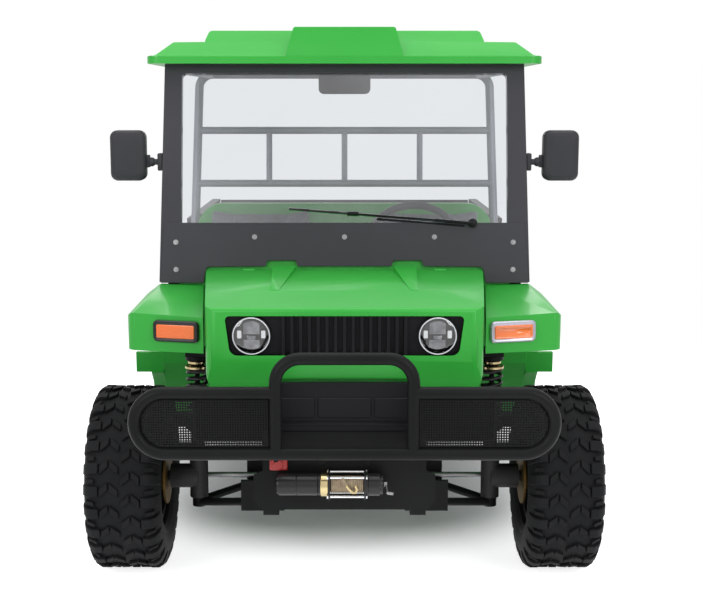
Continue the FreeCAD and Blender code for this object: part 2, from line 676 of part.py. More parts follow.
def hood_outer(tag, inset):
    """The hood's form, drawn in by an inset on every side but its lower edge."""
    plan = plate("hood_plan" + tag, "xy", [
        (f"hood_rear_half - {inset}", from_axle(f"hood_rear_y + {inset}")),
        (f"-hood_rear_half + {inset}", from_axle(f"hood_rear_y + {inset}")),
        (f"-hood_front_half + {inset}", from_axle(f"nose_front_y + {inset}")),
        (f"hood_front_half - {inset}", from_axle(f"nose_front_y + {inset}")),
    ], "hood_low_z - 20", "hood_rear_z + 60", [((2, 3), f"hood_corner - {inset}")])
    side = plate("hood_side" + tag, "yz", [
        (from_axle(f"hood_rear_y + {inset}"), f"hood_side_z - {inset}"),
        (from_axle("nose_front_y + 345"), f"hood_side_z - {inset}"),
        (from_axle("nose_front_y + 135"), f"hood_low_z - {inset}"),
        (from_axle("nose_front_y + 30"), f"hood_low_z - {inset}"),
        (from_axle(f"nose_front_y + {inset}"), "grille_low_z - 20"),
        (from_axle(f"nose_front_y + {inset}"), f"hood_front_z - {inset}"),
        (from_axle("hood_crease_y"), f"hood_crease_z - {inset}"),
        (from_axle(f"hood_rear_y + {inset}"), f"hood_rear_z - {inset}"),
    ], "-hood_rear_half - 20", "hood_rear_half + 20", [((5,), f"hood_brow - {inset}")])
    front = plate("hood_front" + tag, "xz", both_halves([
        (f"hood_front_half - 17 - {inset}", "hood_low_z - 40"),
        (f"hood_front_half - 17 - {inset}", "hood_low_z"),
        (f"hood_front_half + 22 - {inset}", "fender_low_z"),
        (f"hood_rear_half + 30 - {inset}", "fender_low_z + 50"),
        (f"hood_rear_half - 5 - {inset}", f"hood_crease_z - 4 - {inset}"),
        ("hood_front_half - 40", f"hood_crease_z + 2 - {inset}"),
    ]), from_axle("nose_front_y - 40"), from_axle("hood_rear_y + 40"))
    return common("hood_form" + tag, [plan, side, front])


def hood():
    """One-piece moulded hood with the grille, lamps and nose, hinged at its rear edge."""
    outer = hood_outer("_out", "0")
    inner = hood_outer("_in", "hood_wall")
    ridge = shape("hood_ridge", wedge(
        (S.ridge_in, S.ridge_out, S.hood_rear_y - 2, S.hood_rear_z - 14, S.hood_rear_z + 16),
        (S.ridge_in + 34, S.ridge_out - 22, S.hood_crease_y, S.hood_crease_z - 14, S.hood_crease_z + 1)))
    pin_y = from_axle("hood_rear_y + hinge_behind")
    pin_z = "hood_rear_z - hinge_below"
    pin = rod("hood_pin", "x", (pin_y, pin_z), ("hinge_x - 20", "hinge_x + 20"), "hinge_pin")
    lugs = [pin]
    for number, x in enumerate(("hinge_x - 20", "hinge_x + 11")):
        ends = (x, f"{x} + 9")
        lugs.append(rod(f"hood_barrel_{number}", "x", (pin_y, pin_z), ends, "hinge_behind"))
        lugs.append(block(f"hood_leaf_{number}", ends, (from_axle("hood_rear_y - 6"), pin_y),
                          (f"{pin_z} - 6", f"{pin_z} + 3")))
    hinge = join("hood_hinge", lugs)
    body = join("hood_solid", [outer, ridge, mirrored("hood_ridge_other", ridge),
                               hinge, mirrored("hood_hinge_other", hinge)])
    opening = plate("grille_opening", "xz", both_halves([
        ("grille_half - 16", "grille_low_z"), ("grille_half", "grille_high_z")]),
        from_axle("nose_front_y - 20"), from_axle("nose_front_y + 30"), [((0, 3), "26"), ((1, 2), "14")])
    arch = plate("nose_arch", "xz", both_halves([
        ("arch_half + 49", "hood_low_z - 30"), ("arch_half + 49", "hood_low_z + 2"), ("arch_half", "arch_top_z")]),
        from_axle("nose_front_y - 20"), from_axle("nose_front_y + 160"), [((2, 3), "22")])
    node("hood_shell", cut("hood_cut", body, join("hood_hollows", [inner, opening, arch])))
    back = plate("grille_back", "xz", both_halves([
        ("grille_half + 5", "grille_low_z - 14"), ("grille_half + 12", "grille_high_z + 5")]),
        from_axle("nose_front_y + hood_wall"), from_axle("nose_front_y + grille_inset + 6"))
    tray = plate("grille_tray", "xz", both_halves([
        ("grille_half - 16", "grille_low_z"), ("grille_half", "grille_high_z")]),
        from_axle("nose_front_y"), from_axle("nose_front_y + grille_inset"), [((0, 3), "26"), ((1, 2), "14")])
    ribs = [cut("grille_frame", back, tray)]
    count = int(S.rib_count)
    for number in range(count):
        middle = f"({number} - {count - 1} / 2) * rib_pitch"
        ribs.append(block(f"rib_{number}", (f"{middle} - rib_width / 2", f"{middle} + rib_width / 2"),
                          (from_axle("nose_front_y + 9"), from_axle("nose_front_y + grille_inset + 3")),
                          ("grille_low_z - 3", "grille_high_z + 3")))
    node("grille", join("grille_joined", ribs))
    depth = S.grille_inset
    lamp = turned([(0, 0), (0, S.lamp_radius), (depth - 6, S.lamp_radius), (depth + 2, S.lamp_radius - 12),
                           (depth + 6, S.lamp_radius - 30), (depth + 7, 0)])
    # The lamp is turned about X, then set to look forward along -Y.
    lamp.rotate(V(0, 0, 0), V(0, 0, 1), -90)
    lamp.translate(at(S.lamp_x, S.nose_front_y + depth, S.lamp_z))
    node("headlamps", both("lamps", shape("headlamp", lamp)))


def wedge(rear, front):
    """A tapered ridge between two upright rectangles: X low, X high, Y, Z low, Z high."""
    wires = []
    for x0, x1, y, z0, z1 in (rear, front):
        corners = [at(x0, y, z0), at(x1, y, z0), at(x1, y, z1), at(x0, y, z1)]
        wires.append(Part.makePolygon(corners + corners[:1]))
    return Part.makeLoft(wires, True, True)


def fender_outer(tag, inset):
    """A fender's form; the inset leaves its lower side open."""
    plan = plate("fender_plan" + tag, "xy", [
        (f"hood_front_half + hood_gap + 7 + {inset}", from_axle(f"fender_front_y + {inset}")),
        (f"fender_half - 14 - {inset}", from_axle(f"fender_front_y + fender_sweep + {inset}")),
        (f"fender_half + 20 - {inset}", from_axle(f"dash_wall_y - seat_gap - {inset}")),
        (f"hood_rear_half + hood_gap + 5 + {inset}", from_axle(f"dash_wall_y - seat_gap - {inset}")),
    ], "fender_low_z - 60", "fender_top_z + 60", [((1,), f"38 - {inset}")])
    front = plate("fender_face" + tag, "xz", [
        (f"hood_front_half - 20", f"fender_low_z - {inset}"),
        (f"fender_half + 60", f"fender_low_z - {inset}"),
        (f"fender_half + 26 - {inset}", f"fender_top_z - 40 - {inset}"),
        (f"fender_half - 28 - {inset}", f"fender_top_z + 2 - {inset}"),
        (f"hood_front_half - 20", f"fender_top_z - 6 - {inset}"),
    ], from_axle("fender_front_y - 20"), from_axle("dash_wall_y + 20"), [((3,), "24")])
    return common("fender_form" + tag, [plan, front])


def fenders():
    """Moulded front fenders with the turn signals in their front faces."""
    skin = cut("fender_skin", fender_outer("_out", "0"), fender_outer("_in", "wall"))
    node("front_fenders", both("fenders", skin))
    lean = math.degrees(math.atan2(S.fender_sweep, S.fender_half - S.hood_front_half - 30))
    face_y = S.fender_front_y + S.fender_sweep * (S.signal_x - S.hood_front_half - 16) / (
        S.fender_half - S.hood_front_half - 30)
    body = Part.makeBox(2 * S.signal_half, 16, S.signal_height, V(-S.signal_half, -16, -S.signal_height / 2))
    body = body.makeFillet(20, [e for e in body.Edges if abs(e.tangentAt(0).y) > 0.9])
    lens = Part.makeBox(2 * S.signal_half - 28, 8, S.signal_height - 30,
                        V(14 - S.signal_half, -24, 15 - S.signal_height / 2))
    lens = lens.makeFillet(7, [e for e in lens.Edges if abs(e.tangentAt(0).y) > 0.9])
    front = body.fuse(lens)
    front.rotate(V(0, 0, 0), V(0, 0, 1), lean)
    front.translate(at(S.signal_x, face_y, S.signal_z))
    rear = block("tail_lamp", ("bed_half - 210", "bed_half - 70"),
                 (from_axle("rail_rear_y + 40"), from_axle("rail_rear_y + 62")), (f"{REAR_LOW} + 5", f"{REAR_TOP} - 5"))
    front_pair = both("turn_lamps", shape("turn_lamp", front))
    node("signal_lamps", group("signals", [front_pair, both("tail_lamps", rear)]))


def bumper():
    """Bent-tube bumper with a centre hoop, perforated screens, winch plate and winch."""
    radius = S.bumper_tube / 2
    y = -S.front_reach + radius
    top, low, half, hoop_x = S.bumper_top_z, S.bumper_low_z, S.bumper_half, S.hoop_half
    bend = (top - low) / 2 - 0.5
    ring = tube([at(-hoop_x, y, top), at(-half, y, top), at(-half, y, low), at(half, y, low),
                 at(half, y, top), at(hoop_x, y, top)], radius, bend)
    hoop = tube([at(-hoop_x, y, low), at(-hoop_x, y, S.hoop_top_z), at(hoop_x, y, S.hoop_top_z),
                 at(hoop_x, y, low)], radius, S.hoop_bend)
    arm_y = (from_axle(f"bumper_tube / 2 - front_reach"), from_axle(PLATE_FRONT))
    arm = block("bumper_arm", ("hoop_half - 6", "hoop_half + 6"), arm_y, ("bumper_low_z - 26", "bumper_low_z + 18"))
    parts = [shape("bumper_ring", ring), shape("bumper_hoop", hoop), arm, mirrored("bumper_arm_other", arm)]
    node("front_bumper", join("bumper_joined", parts))
    inner = "hoop_half + bumper_tube / 2 + seat_gap"
    outer = "bumper_half - bumper_tube / 2 - seat_gap"
    low_z = "bumper_low_z + bumper_tube / 2 + seat_gap"
    high_z = "bumper_top_z - bumper_tube / 2 - seat_gap"
    middle = "bumper_tube / 2 - front_reach"
    screen = plate("screen", "xz", [(inner, low_z), (outer, low_z), (outer, high_z), (inner, high_z)],
                   from_axle(f"{middle} - screen_wall / 2"), from_axle(f"{middle} + screen_wall / 2"),
                   [((1, 2), "(bumper_top_z - bumper_low_z - bumper_tube) / 2 - 1")])
    node("bumper_screens", both("screens", screen))
    mount = plate("mount", "xz", both_halves([
        ("259", "350"), ("284", "379"), ("284", "462"), ("255", "476"), ("255", "bumper_low_z + 29")]),
        from_axle(PLATE_FRONT), from_axle("rail_front_y"))
    holes = []
    for number, (x, z) in enumerate(((-70, 54), (70, 54), (-70, 84), (70, 84))):
        holes.append(rod(f"guard_hole_{number}", "y", (str(x), f"winch_z + {z}"),
                         (from_axle("rail_front_y - 40"), from_axle("rail_front_y + 40")), "5.5"))
    node("winch_plate", cut("mount_cut", mount, join("guard_holes", holes)))
    panel = plate("lower_panel", "xz", both_halves([
        ("240", "bumper_low_z - 31"), ("240", "hood_low_z - 16"), ("arch_half - 9", "arch_top_z - 8")]),
        from_axle("rail_front_y"), from_axle("rail_front_y + 15"))
    node("nose_lower_panel", panel)


def winch():
    """Drum winch: motor, drum between flanges with tie rods, gear case and foot."""
    front = value(PLATE_FRONT)
    r = S.winch_radius
    y = front - r - 12
    z = S.winch_z
    # Turned pieces along the axis: X from, X to, radius.
    rows = [(-212, -66, r), (-74, -50, r + 3), (-50, -44, r + 8), (-44, 60, 17), (60, 66, r + 8), (66, 122, r + 4)]
    made = None
    for x0, x1, radius in rows:
        piece = bar(at(x0, y, z), at(x1, y, z), radius)
        made = piece if made is None else made.fuse(piece)
    for dy, dz in ((-30, 26), (-30, -26), (26, 30), (26, -30)):
        made = made.fuse(bar(at(-47, y + dy, z + dz), at(63, y + dy, z + dz), 4))
    for x0, x1 in ((-150, -110), (-50, -44), (60, 66), (90, 118)):
        made = made.fuse(Part.makeBox(x1 - x0, front - y, 40, at(x0, y, z - 20)))
    node("winch", shape("winch_made", made.removeSplitter()))


def windscreen_piece(item):
    """Sets a flat piece on the windscreen's slope."""
    item.Placement = FreeCAD.Placement(V(), FreeCAD.Rotation(V(1, 0, 0), -S.screen_lean))
    tie(item, "Placement.Base.y", from_axle("screen_y"))
    tie(item, "Placement.Base.z", "screen_z")
    return item


def windscreen():
    """Windscreen frame, glass and the cowl panel over the hood's rear edge."""
    half_depth = "post_depth / 2"
    frame = plate("screen_outer", "xz", both_halves([
        ("post_foot_half", "-post_foot"), ("post_head_half", "post_high")]), *span(half_depth))
    hole = plate("screen_hole", "xz", both_halves([
        ("glass_half + 1", "0"), ("glass_half - 2", "glass_high")]), *span("post_depth"), [((0, 1, 2, 3), "16")])
    below = plate("screen_below", "xz", both_halves([
        ("glass_half + 14", "-post_foot - 20"), ("glass_half + 10", "-screen_sill")]), *span("post_depth"))
    made = cut("screen_frame", frame, join("screen_holes", [hole, below]))
    node("windscreen_frame", windscreen_piece(made))
    glass = plate("glass", "xz", both_halves([
        ("glass_half + 1 - seat_gap", "seat_gap"), ("glass_half - 2 - seat_gap", "glass_high - seat_gap")]),
        *span("glass_wall / 2"), [((0, 1, 2, 3), "15")])
    node("windscreen_glass", windscreen_piece(glass))
    cowl = plate("cowl", "xz", both_halves([
        ("172", "-146"), ("180", "-125"), ("282", "-125"), ("290", "-146"), ("hood_rear_half + 2", "-148"),
        ("hood_rear_half + 12", "-post_foot - 3"), ("post_foot_half - 6", "-post_foot - 3"),
        ("post_foot_half - 18", "14")]), "-post_depth / 2 - 4", "-post_depth / 2",
        [((4, 11), "14")])
    node("cowl_panel", windscreen_piece(cowl))


def cage():
    """Rear hoop, roof side rails and the load guard behind the seats."""
    radius = S.cage_tube / 2
    head_z = S.roof_z - radius - S.seat_gap
    foot = at(S.cage_foot_x, S.cage_foot_y, S.deck_z + 4)
    head = at(S.cage_head_x, S.cage_head_y, head_z)

    def other(point):
        return V(-point.x, point.y, point.z)

    def on_hoop(z):
        return foot + (head - foot) * ((z - foot.z) / (head.z - foot.z))

    parts = [shape("rear_hoop", tube([foot, head, other(head), other(foot)], radius, S.cage_bend))]
    screen_y = S.screen_y + math.tan(math.radians(S.screen_lean)) * (head_z - S.screen_z) + S.post_depth / 2
    rail = bar(at(S.cage_head_x - 45, screen_y + 3.2, head_z), at(S.cage_head_x - 45, S.cage_head_y, head_z), radius)
    parts.append(shape("roof_rail", rail))
    parts.append(mirrored("roof_rail_other", parts[-1]))
    low = on_hoop(S.guard_low_z)
    high = on_hoop(S.guard_high_z)
    for label, end in (("guard_low", low), ("guard_high", high)):
        parts.append(shape(label, bar(other(end), end, radius - 3)))
    for number, x in enumerate((-S.guard_bar_x, 0, S.guard_bar_x)):
        parts.append(shape(f"guard_bar_{number}", bar(V(x, low.y, low.z), V(x, high.y, high.z), radius - 6)))
    feet = rod("cage_foot", "z", ("cage_foot_x - 30", from_axle("cage_foot_y")),
               ("deck_z + seat_gap", "deck_z + 10"), "cage_pad")
    parts += [feet, mirrored("cage_foot_other", feet)]
    node("cab_frame", join("cage_joined", parts))


def roof_form(tag, inset):
    """The roof's form; the inset keeps its underside open."""
    plan = plate("roof_plan" + tag, "xy", both_halves([
        (f"roof_half - {inset}", from_axle(f"roof_front_y + {inset}")),
        (f"roof_half - {inset}", from_axle(f"roof_rear_y - {inset}"))]),
        "roof_z - 20", "crown_z + 40", [((0, 1, 2, 3), "46")])
    front = plate("roof_front" + tag, "xz", both_halves([
        ("roof_half + 5", "roof_z"),
        ("roof_half + 5", f"roof_z + roof_lip - {inset}"),
        (f"roof_half - 34 - {inset}", f"roof_z + roof_lip + 8 - {inset}"),
        (f"roof_half - 94 - {inset}", f"roof_dome_z - {inset}"),
        ("0", f"roof_dome_z + 6 - {inset}")]), from_axle("roof_front_y - 20"), from_axle("roof_rear_y + 20"),
        [((3, 5), "20")])
    side = plate("roof_side" + tag, "yz", [
        (from_axle("roof_front_y - 10"), "roof_z"),
        (from_axle("roof_rear_y + 10"), "roof_z"),
        (from_axle("roof_rear_y + 10"), f"roof_z + roof_lip - {inset}"),
        (from_axle(f"roof_rear_y - 30 - {inset}"), f"roof_z + roof_lip + 6 - {inset}"),
        (from_axle(f"roof_rear_y - 80 - {inset}"), f"roof_dome_z + 20 - {inset}"),
        (from_axle(f"roof_front_y + 80 + {inset}"), f"roof_dome_z + 20 - {inset}"),
        (from_axle(f"roof_front_y + 24 + {inset}"), f"roof_z + roof_lip + 6 - {inset}"),
        (from_axle("roof_front_y - 10"), f"roof_z + roof_lip - {inset}"),
    ], *span("roof_half + 40"))
    return common("roof_form" + tag, [plan, front, side])


def roof():
    """Moulded roof: lip, shoulders, raised panels and a bare centre box over the windscreen."""
    outer = roof_form("_out", "0")
    crown = common("crown", [
        plate("crown_face", "xz", both_halves([("crown_half + 6", "roof_dome_z - 30"),
              ("crown_half", "roof_dome_z + 14"), ("crown_half - 14", "crown_z")]),
              from_axle("roof_front_y + 160"), from_axle("roof_rear_y - 110"), [((2, 3), "18")]),
        plate("crown_side", "yz", [
            (from_axle("roof_front_y + 165"), "roof_dome_z - 30"), (from_axle("roof_rear_y - 115"), "roof_dome_z - 30"),
            (from_axle("roof_rear_y - 150"), "crown_z"), (from_axle("roof_front_y + 225"), "crown_z")],
            *span("crown_half + 40"))])
    box = common("centre_box", [
        plate("box_face", "xz", both_halves([("219", "roof_z + 8"), ("185", "crown_z + 3")]),
              from_axle("roof_front_y + 2"), from_axle("roof_front_y + 330"), [((1, 2), "10")]),
        plate("box_side", "yz", [
            (from_axle("roof_front_y + 2"), "roof_z + 8"), (from_axle("roof_front_y + 320"), "roof_z + 8"),
            (from_axle("roof_front_y + 300"), "crown_z - 12"), (from_axle("roof_front_y + 22"), "crown_z + 3")],
            *span("260"))])
    cavity = roof_form("_in", "roof_wall")
    keep = block("roof_cavity", span("cage_head_x - 75"),
                 (from_axle("roof_front_y + 130"), from_axle("roof_rear_y - 125")), ("roof_z - 30", "crown_z"))
    hollow = common("roof_hollow", [cavity, keep])
    node("roof", cut("roof_cut", join("roof_solid", [outer, crown, box]), hollow))


def mirrors():
    """Two door mirrors on stub arms and the inside mirror."""
    top_z = "mirror_low_z + mirror_high"
    arm_z = "mirror_low_z + mirror_high * 0.37"
    head = plate("mirror_head", "xz", [
        ("mirror_x + 4", "mirror_low_z"),
        ("mirror_x + mirror_wide - 17", "mirror_low_z + 4"),
        ("mirror_x + mirror_wide", "mirror_low_z + 77"),
        ("mirror_x + mirror_wide - 9", f"{top_z} - 4"),
        ("mirror_x + 10", top_z),
        ("mirror_x", f"{top_z} - 89")],
        from_axle("screen_y - 10"), from_axle("screen_y + 46"), [((1, 3), "28"), ((0, 4), "16")])
    base_low = f"{arm_z} - 32"
    post_edge = (f"post_foot_half - (post_foot_half - post_head_half) * (({base_low} - screen_z) / cos(screen_lean)"
                 " + post_foot) / (post_foot + post_high) + seat_gap")
    arm = rod("mirror_stub", "x", (from_axle("screen_y + 36"), arm_z), (f"{post_edge} + 8", "mirror_x + 12"),
              "mirror_arm")
    base = block("mirror_base", (post_edge, f"{post_edge} + 18"),
                 (from_axle("screen_y + 18"), from_axle("screen_y + 56")), (base_low, f"{arm_z} + 32"))
    outside = both("outside_mirrors", join("outside_mirror", [head, arm, base]))
    glass_y = "screen_y + 140"
    inside = block("inside_glass", span("97"), (from_axle(glass_y), from_axle(f"{glass_y} + 25")),
                   ("roof_z - 109", "roof_z - 32"))
    stem_z = "roof_z - 24"
    riser = block("inside_riser", span("8"), (from_axle(f"{glass_y} + 4"), from_axle(f"{glass_y} + 19")),
                  ("roof_z - 40", f"{stem_z} + 7"))
    stem = rod("inside_stem", "y", ("0", stem_z), (from_axle(behind_screen(f"{stem_z} + 7")), from_axle(f"{glass_y} + 12")), "7")
    node("mirrors", group("all_mirrors", [outside, join("inside_mirror", [inside, riser, stem])]))


def behind_screen(z):
    """Where a piece lies against the rear of the windscreen posts, at a height."""
    return f"screen_y + ({z} - screen_z) * tan(screen_lean) + post_depth / 2 / cos(screen_lean) + seat_gap"


def dashboard():
    """Dash across the cab, steering column and its lower shaft, and the steering wheel."""
    low, high = "hood_side_z + 4", "screen_z - 32"
    dash = plate("dash", "yz", [(from_axle(u), w) for u, w in (
        (behind_screen(low), low), ("dash_wall_y + 200", "hood_side_z - 16"),
        ("dash_wall_y + 262", "hood_side_z + 60"), ("dash_wall_y + 236", "hood_side_z + 180"),
        ("dash_wall_y + 130", "screen_z - 12"), (behind_screen(high), high))],
        *span("floor_half - 44"), [((2, 3), "26")])
    node("dashboard", dash)
    rise = math.radians(S.column_rise)
    axis = V(0, math.cos(rise), math.sin(rise))
    centre = at(S.wheel_x, S.wheel_y, S.wheel_z)
    grip = Part.makeTorus(S.grip_circle, S.grip_radius, centre, axis)
    hub = bar(centre - axis * 45, centre + axis * 12, 40)
    made = grip.fuse(hub)
    for turn in (90, 210, 330):
        out = FreeCAD.Rotation(axis, turn).multVec(V(1, 0, 0))
        made = made.fuse(bar(centre - axis * 12, centre + out * S.grip_circle, 9))
    node("steering_wheel", shape("wheel_made", made))
    column = bar(centre - axis * (45 + S.seat_gap), centre - axis * 150, 26)
    column = column.cut(dash_solid())
    node("steering_column", shape("column_made", column))


def dash_solid():
    doc.recompute()
    return NODES["dashboard"].Shape


def front_suspension():
    """Lower arms, knuckles with calipers, struts and the sliding rack with its tie rods."""
    king = S.kingpin_x
    low_z = S.ball_joint_z
    leg = S.arm_tube / 2
    pivot = bar(at(S.arm_pivot_x, -S.arm_spread - 20, S.arm_pivot_z), at(S.arm_pivot_x, S.arm_spread + 20,
                S.arm_pivot_z), leg + 3)
    made = pivot.fuse(bar(at(king, 0, low_z - 28), at(king, 0, low_z), 24))
    for side in (-1, 1):
        made = made.fuse(bar(at(S.arm_pivot_x, side * S.arm_spread, S.arm_pivot_z),
                             at(king, side * 8, low_z - 14), leg))
    node("front_arms", both("arms", shape("arm_made", made.removeSplitter())))
    axle_z = S.tyre_radius
    hub_x = S.half_track - S.brake_inset
    gap = S.joint_gap
    pieces = [
        bar(at(king, 0, low_z + gap), at(king, 0, S.strut_low_z + 80), 32),
        bar(at(king, 0, axle_z), at(hub_x - gap - 4, 0, axle_z), 42),
        bar(at(hub_x - gap - 4, 0, axle_z), at(S.half_track - 30, 0, axle_z), S.spindle_radius),
        Part.makeBox(40, S.steer_arm, 14, at(king - 20, 0, S.rack_z - S.rack_rod / 2 - gap - 16)),
        bar(at(king, S.steer_arm, S.rack_z - S.rack_rod / 2 - gap - 16),
            at(king, S.steer_arm, S.rack_z - S.rack_rod / 2 - gap - 2), 20),
        Part.makeBox(hub_x - king - 8, 60, 42, at(king, -30, axle_z + 70)),
        Part.makeBox(38, 90, 46, at(hub_x - 15, -45, axle_z + S.brake_radius - 28)),
    ]
    knuckle = pieces[0].multiFuse(pieces[1:])
    slot = bar(at(hub_x - 4, 0, axle_z), at(hub_x + S.brake_wall + 4, 0, axle_z), S.brake_radius + 5)
    slot = slot.cut(bar(at(hub_x - 9, 0, axle_z), at(hub_x + 30, 0, axle_z), S.spindle_radius))
    knuckle = knuckle.cut(slot)
    bore = bar(at(king, 0, S.strut_low_z), at(king, 0, S.strut_low_z + 90), S.strut_tube / 2)
    knuckle = knuckle.cut(bore).removeSplitter()
    left = shape("knuckle_made", knuckle)
    node("knuckle_left", left)
    node("knuckle_right", mirrored("knuckle_other", left))
    tube_r = S.strut_tube / 2
    outer = S.spring_outer / 2
    inner = outer - S.spring_wire
    # Strut outline as height and radius: tube, lower seat, then the coils as round beads.
    outline = [(S.strut_low_z, 0), (S.strut_low_z, tube_r), (S.spring_low_z - 12, tube_r),
               (S.spring_low_z - 12, outer + 4), (S.spring_low_z, outer + 4)]
    count = int(S.spring_turns)
    top = S.strut_top_z - 14
    pitch = (top - S.spring_low_z) / count
    for turn in range(count):
        z = S.spring_low_z + turn * pitch
        outline += [(z + pitch * 0.12, inner), (z + pitch * 0.3, outer), (z + pitch * 0.7, outer),
                    (z + pitch * 0.88, inner)]
    outline += [(top, outer + 2), (S.strut_top_z - S.seat_gap, outer + 2), (S.strut_top_z - S.seat_gap, 0)]
    strut = turned(outline)
    strut.rotate(V(0, 0, 0), V(0, 1, 0), -90)
    strut.translate(at(king, 0, 0))
    left = shape("strut_made", strut)
    node("strut_left", left)
    node("strut_right", mirrored("strut_other", left))
    rack = bar(at(-king, S.steer_arm, S.rack_z), at(king, S.steer_arm, S.rack_z), S.rack_rod / 2)
    for side in (-1, 1):
        rack = rack.fuse(bar(at(side * king, S.steer_arm, S.rack_z - 10), at(side * king, S.steer_arm, S.rack_z + 14), 17))
    node("steering_rack", shape("rack_made", rack.removeSplitter()))


def tread_lugs():
    """The tread's lugs round a tyre: a shoulder lug and a slanted centre lug on each side a pitch."""
    top = S.tyre_radius
    half = S.tyre_width / 2
    wide = S.lug_width
    crown = math.sqrt(top ** 2 - (wide / 2) ** 2)
    # Shoulder lug, seen along the tread: place along the axle and radius.
    block_face = [(half - 64, crown - 28), (half - 64, crown), (half - 33, crown), (half - 15, crown - 11),
                  (half - 4, crown - 34), (half - 1, crown - 56), (half - 16, crown - 60)]
    shoulder = Part.Face(Part.makePolygon([V(x, -wide / 2, z) for x, z in block_face + block_face[:1]]))
    shoulder = shoulder.extrude(V(0, wide, 0))
    # Centre lug, seen from outside: place along the axle and across the tread.
    reach = wide * 1.06
    slant_top = math.sqrt(top ** 2 - reach ** 2)
    slanted = [(6, -wide * 0.4), (6, wide * 0.35), (half - 74, reach), (half - 74, wide * 0.3)]
    centre = Part.Face(Part.makePolygon([V(x, y, slant_top) for x, y in slanted + slanted[:1]]))
    centre = centre.extrude(V(0, 0, -S.lug_depth - 8))
    lugs = []
    pitch = 360 / int(S.lug_count)
    for number in range(int(S.lug_count)):
        for side in (1, -1):
            for lug in (shoulder, centre):
                made = lug.copy() if side > 0 else lug.mirror(V(0, 0, 0), V(1, 0, 0))
                made.rotate(V(0, 0, 0), V(1, 0, 0), pitch * (number + (0.5 if side < 0 else 0)))
                lugs.append(made)
    return lugs


def wheels():
    """Four wheels: tyre, steel rim with vents, front brake discs and rear drums."""
    half_rim = S.rim_width / 2
    seat = S.rim_radius
    flange = seat + S.flange_height
    half = S.tyre_width / 2
    top = S.tyre_radius
    belly = S.belly_radius
    sidewall = [(half_rim - 7, seat), (half_rim - 7, flange + 3), (half_rim + 10, flange + 8), (half - 4, belly - 31),
                (half, belly), (half - 3, belly + 26), (half - 14, top - 34), (half - 40, top - S.lug_depth)]
    carcass = turned([(-along, radius) for along, radius in sidewall[:1]] + sidewall
                     + [(-along, radius) for along, radius in reversed(sidewall[1:])])
    tyre = carcass.multiFuse(tread_lugs())
    barrel = turned([
        (-half_rim, seat - S.rim_wall), (half_rim, seat - S.rim_wall), (half_rim, flange), (half_rim - 7, flange),
        (half_rim - 7, seat), (7 - half_rim, seat), (7 - half_rim, flange), (-half_rim, flange)])
    disc_x = 12
    centre = turned([
        (disc_x - 4, 0), (disc_x - 4, 70), (disc_x + 14, 88), (disc_x + 14, 126), (disc_x, seat - S.rim_wall + 0.5),
        (disc_x + S.disc_wall, seat - S.rim_wall + 0.5), (disc_x + 14 + S.disc_wall, 126),
        (disc_x + 14 + S.disc_wall, 86), (disc_x + 6, 66), (disc_x + 6, 36), (disc_x + 40, 32), (disc_x + 40, 0)])
    vents = [Part.makeCylinder(S.vent_radius, 80, V(-20, S.vent_circle, 0), V(1, 0, 0)) for _ in range(8)]
    for number, vent in enumerate(vents):
        vent.rotate(V(0, 0, 0), V(1, 0, 0), 45 * number)
        centre = centre.cut(vent)
    rim = barrel.fuse(centre)
    drum = turned([(-S.drum_inset, 0), (-S.drum_inset, S.drum_radius - 8), (7 - S.drum_inset, S.drum_radius), (-20, S.drum_radius),
                           (-12, 70), (disc_x - 3, 66), (disc_x - 3, 0)])
    bore = S.spindle_radius + S.bearing_gap
    inset = -S.brake_inset
    hub = turned([
        (inset, bore), (inset, S.brake_radius), (inset + S.brake_wall, S.brake_radius),
        (inset + S.brake_wall, S.hub_radius), (-6, S.hub_radius), (-6, 66), (disc_x - 4, 66), (disc_x - 4, 0),
        (-26, 0), (-26, bore)])
    # Corners: name, X side, place along the vehicle.
    corners = [("front_left", 1, 0), ("front_right", -1, 0), ("rear_left", 1, S.wheelbase),
               ("rear_right", -1, S.wheelbase)]
    for name, side, y in corners:
        pieces = {"tyre": tyre, "rim": rim}
        if y == 0:
            pieces["brake_disc"] = hub
        else:
            pieces["rim"] = rim.fuse(drum)
        for kind, made in pieces.items():
            placed = made.copy()
            if side < 0:
                placed = placed.mirror(V(0, 0, 0), V(1, 0, 0))
            placed.translate(at(side * S.half_track, y, S.tyre_radius))
            node(f"{kind}_{name}", shape(f"{kind}_{name}_made", placed))


